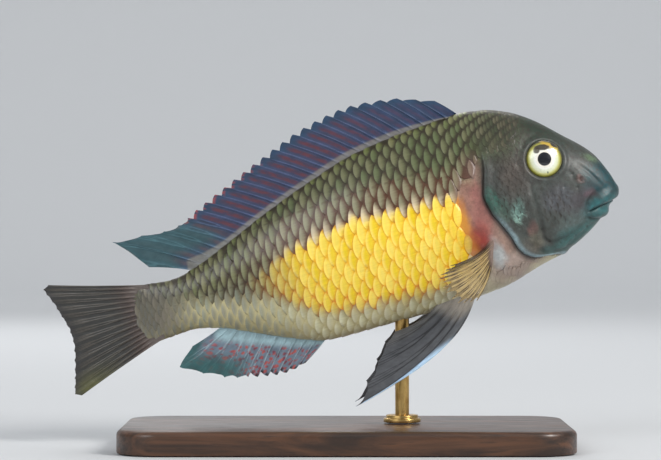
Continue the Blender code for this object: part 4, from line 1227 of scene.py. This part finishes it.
tailLook = {
    "spines": 0, "rays": 16, "root": ((0.0, 5.1), (1.0, -6.9)), "rootU": 102.6, "bend": 9.0, "fan": 0.36,
    "tips": ((0.0, 123.8, 11.8), (0.06, 125.0, 11.2), (0.25, 123.6, 6.6), (0.5, 122.2, -0.6),
             (0.75, 124.0, -8.0), (0.94, 125.6, -12.8), (1.0, 124.2, -13.4)),
    "along": 44, "perGap": 16, "notch": (0.0, 0.01), "rootThick": 1.6, "billow": 0.06,
    "fray": 0.008, "seed": 5,
    "membrane": (50, 49, 46), "ray": (74, 69, 62), "joints": 7.0, "alpha": 0.92,
    "layers": (
        ((98, 74, 68), ("share", 0.5, 0.12, 0.0, 0.6)),
        ((100, 100, 52), ("across", 11.0, 15.0), ("share", 0.45, 0.95, 0.0, 0.8)),
        ((46, 44, 46), ("toEdge", 2.0, 0.2, 0.0, 0.55)),
        ((104, 94, 88), ("share", 0.34, 0.14, 0.0, 0.9)),
    ),
}
pelvicLook = {
    "spines": 0,
    "rows": (
        ((35.7, -3.2, -17.4), (41.2, -5.6, -27.7), (59.0, -8.0, -30.9)),
        ((36.9, -3.1, -17.4), (45.6, -5.8, -28.9), (68.4, -8.6, -33.1)),
        ((38.2, -3.0, -17.4), (47.2, -5.6, -27.4), (64.4, -8.0, -29.4)),
        ((39.8, -2.9, -17.4), (48.2, -5.3, -24.6), (61.0, -7.2, -25.6)),
        ((41.6, -2.8, -17.4), (49.0, -5.0, -22.4), (58.0, -6.5, -22.5)),
        ((43.4, -2.6, -17.4), (49.4, -4.7, -20.9), (55.2, -5.8, -20.6)),
    ),
    "along": 40, "perGap": 26, "notch": (0.0, 0.03), "rootThick": 1.4, "billow": 0.15,
    "fray": 0.012, "seed": 6,
    "membrane": (82, 84, 88), "ray": (42, 42, 46), "joints": 8.0, "alpha": 0.95,
    "layers": (
        ((186, 214, 240), ("across", 1.15, 0.75), ("share", 0.42, 0.62)),
        ((150, 142, 130), ("share", 0.3, 0.12, 0.0, 0.8)),
        ((120, 116, 108), ("across", 3.2, 5.0, 0.0, 0.4)),
    ),
}
pectoralLook = {
    "spines": 0, "rays": 12,
    "rows": (
        ((28.4, -4.4, -7.6), (33.1, -17.0, -11.0), (40.4, -23.5, -10.5)),
        ((28.8, -4.4, -8.6), (33.3, -16.7, -12.8), (43.6, -22.8, -12.2)),
        ((29.3, -4.4, -9.5), (33.5, -15.9, -14.4), (43.2, -21.2, -15.0)),
        ((29.8, -4.4, -10.3), (33.4, -14.8, -15.8), (40.8, -17.8, -18.7)),
        ((30.3, -4.4, -11.0), (33.0, -13.4, -16.9), (37.1, -14.2, -19.5)),
    ),
    "along": 36, "perGap": 14, "notch": (0.0, 0.1), "rootThick": 1.6, "billow": 0.1, "fray": 0.025, "seed": 8,
    "membrane": (204, 178, 122), "ray": (56, 40, 26), "joints": 8.0, "alpha": 0.55,
    "layers": (
        ((50, 36, 26), ("across", 2.4, 0.6, 0.0, 0.9)),
        ((146, 124, 112), ("share", 0.34, 0.14, 0.0, 0.8)),
    ),
}
rayLook = {
    "sink": 2.2,
    "bow": 0.06,
    "membrane": 0.14,
    "spine": (0.42, 0.13),
    "softRay": (0.36, 0.12),
    "branchAt": (0.38, 0.68),
    "branchSpread": (0.16, 0.075),
    "fleshyRoot": 0.25,
    "weightSteps": 400,
}


def raysAt(rays, spots):  # rays between the given ones, by their place in the row
    rays = np.asarray(rays, float)
    made = np.zeros((len(spots), 3, 3))
    for part in range(3):
        for axis in range(3):
            knots = [(i, ray[part][axis]) for i, ray in enumerate(rays)]
            made[:, part, axis] = readCurve(knots, spots)
    return made


def medianRays(look):
    count = look["spines"] + look["soft"]
    rays = []
    for i in range(count):
        share = i / (count - 1)
        u = look["from"] + (look["to"] - look["from"]) * share
        h = float(readCurve(body[look["edge"]], u))
        back, up = float(readCurve(look["reach"], share, 1)), float(readCurve(look["reach"], share, 2))
        sink = rayLook["sink"] / math.hypot(back, up)
        root = np.array([u - back * sink, 0.0, h - up * sink])
        tip = np.array([u + back, 0.0, h + up])
        bow = np.array([-up * rayLook["bow"], 0.0, back * math.copysign(rayLook["bow"], up)])
        rays.append((root, (root + tip) / 2 + bow, tip))
    return rays


def tailRays(look):
    rays = []
    for i in range(look["rays"]):
        share = i / (look["rays"] - 1)
        root = (look["rootU"], 0.0, float(readCurve(look["root"], share)))
        tip = (float(readCurve(look["tips"], share, 1)), 0.0, float(readCurve(look["tips"], share, 2)))
        bend = (root[0] + look["bend"], 0.0, root[2] + (tip[2] - root[2]) * look["fan"])
        rays.append((root, bend, tip))
    return rays


def mirrored(rays):
    return [[(u, -side, h) for u, side, h in ray] for ray in rays]


def rayRidge(offset, spacing, perGap, isSpine, t):  # half thickness over each ray and its branches
    thick = [np.where(isSpine, rayLook["spine"][end], rayLook["softRay"][end]) for end in (0, 1)]
    radius = thick[0] + (thick[1] - thick[0]) * t
    first, second = rayLook["branchAt"]
    wide, narrow = rayLook["branchSpread"]
    spread1 = np.where(isSpine, 0.0, wide * fade(t, first, first + 0.25))
    spread2 = np.where(isSpine, 0.0, narrow * fade(t, second, second + 0.2))
    thinner = radius * (1 - 0.25 * fade(t, first, first + 0.2) * ~isSpine)
    width = np.maximum(thinner, 0.55 * spacing / perGap * 1.4)
    ridge = np.zeros_like(t)
    for one in (-1, 1):
        for two in (-1, 1):
            away = np.abs(offset[:, None] - (one * spread1 + two * spread2)) * spacing
            ridge = np.maximum(ridge, thinner * np.sqrt(np.maximum(1 - (away / width) ** 2, 0.0)))
    return ridge, np.clip(ridge / np.maximum(radius, 1e-6), 0, 1)


def buildFin(name, rays, look):
    random = np.random.default_rng(look["seed"])
    rays = np.asarray(rays, float)
    count, perGap = len(rays), look["perGap"]
    spineNotch, softNotch = look["notch"]
    places = np.linspace(0, count - 1, (count - 1) * perGap + 1)
    nearest = np.round(places).astype(int)
    offset = places - nearest  # -0.5 to 0.5 from the nearest ray
    gapShare = places - np.floor(places)
    spiny = places < look["spines"]
    notch = np.where(spiny, spineNotch * gapShare**1.4, softNotch * np.sin(math.pi * gapShare) ** 0.6)
    onRay = np.abs(offset) < 1e-6
    frayed = np.interp(places, np.linspace(0, count - 1, 4 * count), random.uniform(0, 1, 4 * count))
    edge = 1.0 - np.where(onRay, 0.0, notch) - np.where(spiny, 0.0, look["fray"] * frayed)
    t = np.linspace(0, 1, look["along"])[None, :] * edge[:, None]
    start, bend, tip = np.moveaxis(raysAt(rays, places), 1, 0)[:, :, None, :]
    s = t[..., None]
    points = start * (1 - s) ** 2 + bend * (2 * s * (1 - s)) + tip * s**2

    down = np.gradient(points, axis=1)
    over = np.gradient(points, axis=0)
    normals = np.cross(over, down)
    normals /= np.maximum(np.linalg.norm(normals, axis=2, keepdims=True), 1e-9)
    wave = np.sin(math.pi * gapShare) * np.where(np.floor(places) % 2 == 0, 1, -1)
    points = points + normals * (look["billow"] * wave[:, None] * fade(t, 0.1, 0.6))[..., None]

    spacing = np.linalg.norm(over, axis=2) * perGap  # millimetres from one ray to the next
    ridge, mask = rayRidge(offset, spacing, perGap, (nearest < look["spines"])[:, None], t)
    root = look["rootThick"] / 2 * np.maximum(0.0, 1 - t / rayLook["fleshyRoot"])
    half = np.maximum(np.maximum(rayLook["membrane"] / 2, ridge), root)

    fin = addGrid(name, look["along"], len(places))
    layPoints(fin, poseFish(points.reshape(-1, 3)))
    ahead = np.broadcast_to(places[:, None], t.shape)
    length = np.linalg.norm(np.diff(points, axis=1, prepend=points[:, :1]), axis=2).cumsum(axis=1)
    writeValue(fin, "finPlace", np.stack([ahead, t, length], axis=2).reshape(-1, 3))
    writeValue(fin, "ray", mask.ravel())
    toEdge = (edge[:, None] - t) * length[:, -1:] / np.maximum(edge[:, None], 0.1)
    writeValue(fin, "toEdge", toEdge.ravel())
    weights = fin.vertex_groups.new(name="thickness")
    largest, steps = half.max(), rayLook["weightSteps"]
    levels = np.round(half.ravel() / largest * steps).astype(int)
    order = np.argsort(levels, kind="stable")
    for some in np.split(order, np.flatnonzero(np.diff(levels[order])) + 1):  # points of equal thickness
        weights.add(some.tolist(), float(levels[some[0]]) / steps, "REPLACE")
    wall = fin.modifiers.new("wall", "SOLIDIFY")
    wall.thickness = 2 * largest * mm
    wall.offset = 0.0
    wall.vertex_group = "thickness"
    wall.thickness_vertex_group = 0.0
    applyAll(fin)
    cleanMesh(fin, 1e-7)
    smoothPiece(fin, 60)
    return fin


def buildRayPattern():  # what all fins read: place between two rays, streaks, and the joints of the rays
    group, taken, bench = newGroup("fin rays", {"Place": "Vector", "Ray": "Float", "Joints": "Float"},
                                   {"Between": "Float", "Mottle": "Float", "Height": "Float"})
    across, _, length = bench.split(taken["Place"])
    whole = bench.maths("FRACT", bench.plus(across, 0.5))
    between = bench.times(bench.maths("ABSOLUTE", bench.less(whole, 0.5)), 2.0)
    streaks = bench.combine(bench.times(across, 2.4), bench.times(length, 0.45))
    mottle = bench.noise(streaks, 1.0, 3.0, 0.6)
    joints = bench.times(bench.maths("SINE", bench.times(length, taken["Joints"])), 0.3, taken["Ray"])
    bench.feed({"Between": between, "Mottle": mottle, "Height": bench.plus(bench.times(mottle, 0.5), joints)})
    return group


rayGroup = buildRayPattern()


def spotCells(bench, place, across, length, look):  # distance from the middle of uneven spots in rows
    acrossRays, alongRays, bent = look["spots"]
    rows = bench.combine(bench.times(across, acrossRays), bench.times(length, alongRays))
    off = bench.vector("SCALE", bench.noise(place, 1.6, 2.0, output="Color"), scale=bent)
    moved = bench.vector("ADD", rows, off)
    return bench.add("TexVoronoi", {"Vector": moved, "Scale": 1.0, "Randomness": 0.8}).outputs["Distance"]


def finMaterial(name, look):
    material, bench = newMaterial(name, Roughness=0.42, Coat_Weight=0.2, Coat_Roughness=0.2,
                                  Specular_IOR_Level=0.45)
    place, ray = bench.spot("finPlace"), bench.value("ray")
    pattern = bench.place(rayGroup, Place=place, Ray=ray, Joints=look["joints"])
    across, share, length = bench.split(place)
    values = {"across": across, "share": share, "ray": ray, "toEdge": bench.value("toEdge"),
              "between": pattern["Between"], "mottle": pattern["Mottle"]}
    if "spots" in look:
        values["spots"] = spotCells(bench, place, across, length, look)

    def maskOf(key, *limits):
        return bench.ramp(values[key], *limits)

    onRay = maskOf("ray", 0.15, 0.7)
    colour = bench.layer(tone(*look["membrane"]), (onRay, tone(*look["ray"])))
    for paintTone, *masks in look["layers"]:
        if isinstance(paintTone[0], tuple):
            under, over, blend = paintTone
            layerTone = bench.layer(tone(*under), (maskOf(*blend), tone(*over)))
        else:
            layerTone = tone(*paintTone)
        colour = bench.layer(colour, (bench.times(*[maskOf(*mask) for mask in masks]), layerTone))
    see = bench.maths("MAXIMUM", bench.ramp(onRay, 0.0, 1.0, look["alpha"], 1.0),
                      maskOf("share", 0.25, 0.5, 1.0, 0.0))
    bench.feed({"Base Color": bench.brighten(colour, maskOf("mottle", 0.3, 0.7, 0.82, 1.14)), "Alpha": see})
    bench.relief(pattern["Height"], 0.25, 0.00015)
    return material


for word, slot, look, rays in (
    ("dorsal", "median_fin", dorsalLook, medianRays(dorsalLook)),
    ("anal", "median_fin", analLook, medianRays(analLook)),
    ("tail", "tail_fin", tailLook, tailRays(tailLook)),
):
    sheet = buildFin(f"{word}_fin_sheet", rays, look)
    settle(sheet, slot, finMaterial(f"{word} fin", look), f"{word}_fin")
print("median fins built")

lastRow = len(pectoralLook["rows"]) - 1
pectoralRays = raysAt(pectoralLook["rows"], np.linspace(0, lastRow, pectoralLook["rays"]))
paired = [("pelvic", pelvicLook, pelvicLook["rows"]), ("pectoral", pectoralLook, pectoralRays)]
finishes = {word: finMaterial(f"{word} fin", look) for word, look, rays in paired}
for side in ("left", "right"):
    for word, look, rays in paired:
        sheet = buildFin(f"{word}_fin_{side}_sheet", mirrored(rays) if side == "left" else rays, look)
        settle(sheet, "paired_fin", finishes[word], f"{word}_fin_{side}")
print("paired fins built")


# Stand: stained board, brass rod and turned collar

standLook = {
    "cornerRadius": 9.0,
    "cornerSteps": 18,
    "edge": 1.2,
    "foot": 0.4,
    "intoBelly": 3.2,
    "sides": 64,
    "collarFoot": 0.55,
    "collarInsets": (0.14, 0.18),
    "collarEdge": 0.22,
}


def editNothing(piece, kind):  # edit mode with nothing selected, then back, so that code can select
    pick(piece)
    bpy.ops.object.mode_set(mode="EDIT")
    bpy.ops.mesh.select_mode(type=kind)
    bpy.ops.mesh.select_all(action="DESELECT")
    bpy.ops.object.mode_set(mode="OBJECT")


def namePiece(name):  # the new primitive gets its name, and its place goes into its mesh
    piece = bpy.context.object
    piece.name = name
    bpy.ops.object.transform_apply(location=True, rotation=True, scale=True)
    return piece


def buildBoard():
    low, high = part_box("stand_base")
    deselectAll()
    bpy.ops.mesh.primitive_cube_add(size=1.0, location=(high + low) / 2, scale=high - low)
    board = namePiece("display_board")
    for radius, steps, test in (
        (standLook["cornerRadius"], standLook["cornerSteps"], lambda a, b: abs(a.z - b.z) > 0.001),
        (standLook["edge"], 6, lambda a, b: min(a.z, b.z) > high.z - 1e-5),
        (standLook["foot"], 2, lambda a, b: max(a.z, b.z) < low.z + 1e-5),
    ):
        editNothing(board, "EDGE")
        for edge in board.data.edges:
            edge.select = test(*[board.data.vertices[v].co for v in edge.vertices])
        bpy.ops.object.mode_set(mode="EDIT")
        bpy.ops.mesh.bevel(offset=radius * mm, segments=steps, affect="EDGES", profile=0.5)
        bpy.ops.object.mode_set(mode="OBJECT")
    cleanMesh(board)
    smoothPiece(board, 30)
    return board


def buildRod():
    low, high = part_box("stand_rod")
    top = high.z + standLook["intoBelly"] * mm
    deselectAll()
    bpy.ops.mesh.primitive_cylinder_add(
        vertices=standLook["sides"], radius=(high.x - low.x) / 2, depth=top - low.z,
        location=((low.x + high.x) / 2, (low.y + high.y) / 2, (top + low.z) / 2),
    )
    rod = namePiece("display_rod")
    smoothPiece(rod, 40)
    return rod


def buildCollar():
    low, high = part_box("stand_collar")
    radius, tall = (high.x - low.x) / 2, high.z - low.z
    foot = tall * standLook["collarFoot"]
    lower, upper = standLook["collarInsets"]
    deselectAll()
    bpy.ops.mesh.primitive_cylinder_add(
        vertices=standLook["sides"], radius=radius, depth=foot,
        location=((low.x + high.x) / 2, (low.y + high.y) / 2, low.z + foot / 2),
    )
    collar = namePiece("display_collar")
    editNothing(collar, "FACE")
    for face in collar.data.polygons:
        face.select = face.normal.z > 0.9
    bpy.ops.object.mode_set(mode="EDIT")
    bpy.ops.mesh.inset(thickness=radius * lower)
    bpy.ops.mesh.extrude_region_move(TRANSFORM_OT_translate={"value": (0, 0, tall - foot)})
    bpy.ops.mesh.inset(thickness=radius * upper)
    bpy.ops.object.mode_set(mode="OBJECT")
    trim = collar.modifiers.new("soft edges", "BEVEL")
    trim.width = standLook["collarEdge"] * mm
    trim.segments = 3
    trim.limit_method = "ANGLE"
    trim.angle_limit = math.radians(40)
    applyAll(collar)
    cleanMesh(collar)
    smoothPiece(collar, 35)
    return collar


def woodMaterial():
    material, bench = newMaterial("dark stained wood", Roughness=0.38, Coat_Weight=0.25, Coat_Roughness=0.25)
    rings = bench.noise(bench.stretch((22.0, 190.0, 190.0), (0.0, 0.02, 0.03)), 1.0, 6.0, 0.62, 1.4)
    pores = bench.noise(bench.stretch((120.0, 1800.0, 1800.0)), 1.0, 3.0, 0.6)
    colour = bench.layer(tone(46, 30, 20), (bench.ramp(rings, 0.35, 0.66), tone(96, 62, 40)),
                         (bench.ramp(pores, 0.56, 0.7, 0.0, 0.6), tone(26, 17, 12)))
    bench.feed({"Base Color": colour, "Roughness": bench.ramp(pores, 0.3, 0.7, 0.32, 0.5)})
    bench.relief(pores, 0.2, 0.0001)
    return material


def brassMaterial():
    material, bench = newMaterial("satin brass", Metallic=1.0, Roughness=0.28)
    fine = bench.noise(bench.stretch((900.0, 900.0, 90.0)), 1.0, 3.0, 0.6)
    dull = bench.noise(bench.add("TexCoord").outputs["Object"], 260.0, 3.0, 0.6)
    colour = bench.layer(tone(206, 172, 108), (bench.ramp(dull, 0.4, 0.7), tone(176, 138, 78)))
    bench.feed({"Base Color": colour, "Roughness": bench.ramp(fine, 0.3, 0.7, 0.22, 0.38)})
    bench.relief(fine, 0.08, 0.00005)
    return material


settle(buildBoard(), "stand_wood", woodMaterial(), "stand_base")
brass = brassMaterial()
settle(buildRod(), "stand_metal", brass, "stand_rod")
settle(buildCollar(), "stand_metal", brass, "stand_collar")
print("stand built")


# Studio: a pale floor that curves up all round, soft lights and the photo's view

studio = {
    "floorRadius": 1.5,
    "floorDrop": 0.2,
    "wallRise": 1.3,
    "curve": 0.45,
    "curveSteps": 10,
    "floorTone": (206, 208, 210),
    "worldTone": (236, 238, 242),
    "worldStrength": 0.6,
    "fishMiddle": (0.0, 0.0, 0.045),
    "lights": (  # name, place, size, power, colour, aim if not the fish
        ("key light", (0.66, -0.56, 0.6), 0.42, 8.0, (1.0, 0.98, 0.95)),
        ("fill light", (-0.6, -0.7, 0.5), 0.6, 3.2, (0.95, 0.98, 1.0)),
        ("back light", (-0.2, 0.65, 0.5), 0.5, 1.6, (1.0, 1.0, 1.0)),
        ("wall light", (0.0, 1.2, 1.5), 1.2, 8.0, (1.0, 1.0, 1.0), (0.0, 1.95, 0.45)),
    ),
    "cameraDistance": 600.0,
    "cameraForward": -3.36,
    "cameraHeight": 46.5,
    "lens": 152.3,
    "sensor": 36.0,
}


def buildFloor():
    deselectAll()
    bpy.ops.mesh.primitive_circle_add(vertices=96, radius=studio["floorRadius"], fill_type="NGON",
                                      location=(0, 0, -studio["floorDrop"] * mm))
    floor = namePiece("studio_floor")
    bpy.ops.object.mode_set(mode="EDIT")
    bpy.ops.mesh.select_mode(type="EDGE")
    bpy.ops.mesh.select_all(action="SELECT")
    bpy.ops.mesh.region_to_loop()
    radius, rise = studio["floorRadius"], 0.0
    for k in range(1, studio["curveSteps"] + 1):
        angle = math.pi / 2 * k / studio["curveSteps"]
        newRadius = studio["floorRadius"] + studio["curve"] * math.sin(angle)
        newRise = studio["curve"] * (1 - math.cos(angle))
        bpy.ops.mesh.extrude_edges_move(TRANSFORM_OT_translate={"value": (0, 0, newRise - rise)})
        wider = newRadius / radius
        bpy.ops.transform.resize(value=(wider, wider, 1.0), center_override=(0, 0, 0))
        radius, rise = newRadius, newRise
    bpy.ops.mesh.extrude_edges_move(TRANSFORM_OT_translate={"value": (0, 0, studio["wallRise"])})
    bpy.ops.object.mode_set(mode="OBJECT")
    smoothPiece(floor)
    material, bench = newMaterial("studio floor", Roughness=0.95, Specular_IOR_Level=0.08)
    bench.feed({"Base Color": tone(*studio["floorTone"])})
    floor.data.materials.append(material)


def addLight(name, place, size, power, colour, aim=studio["fishMiddle"]):
    deselectAll()
    bpy.ops.object.light_add(type="AREA", location=place)
    light = bpy.context.object
    light.name = name
    light.data.shape = "DISK"
    light.data.size = size
    light.data.energy = power
    light.data.color = colour
    light.rotation_euler = (Vector(aim) - Vector(place)).to_track_quat("-Z", "Y").to_euler()


def buildStudio():
    buildFloor()
    for row in studio["lights"]:
        addLight(*row)
    world = bpy.data.worlds.new("studio air")
    world.use_nodes = True
    sky = world.node_tree.nodes["Background"]
    sky.inputs["Color"].default_value = tone(*studio["worldTone"])
    sky.inputs["Strength"].default_value = studio["worldStrength"]
    bpy.context.scene.world = world
    deselectAll()
    place = (studio["cameraForward"] * mm, -studio["cameraDistance"] * mm, studio["cameraHeight"] * mm)
    bpy.ops.object.camera_add(location=place, rotation=(math.pi / 2, 0.0, 0.0))
    camera = bpy.context.object
    camera.name = "photo view"
    camera.data.lens = studio["lens"]
    camera.data.sensor_fit = "HORIZONTAL"
    camera.data.sensor_width = studio["sensor"]
    camera.data.clip_start = 0.01
    camera.data.clip_end = 20.0
    bpy.context.scene.camera = camera
    bpy.context.scene.view_settings.view_transform = "Standard"


buildStudio()
print("studio built")

bpy.context.view_layer.update()
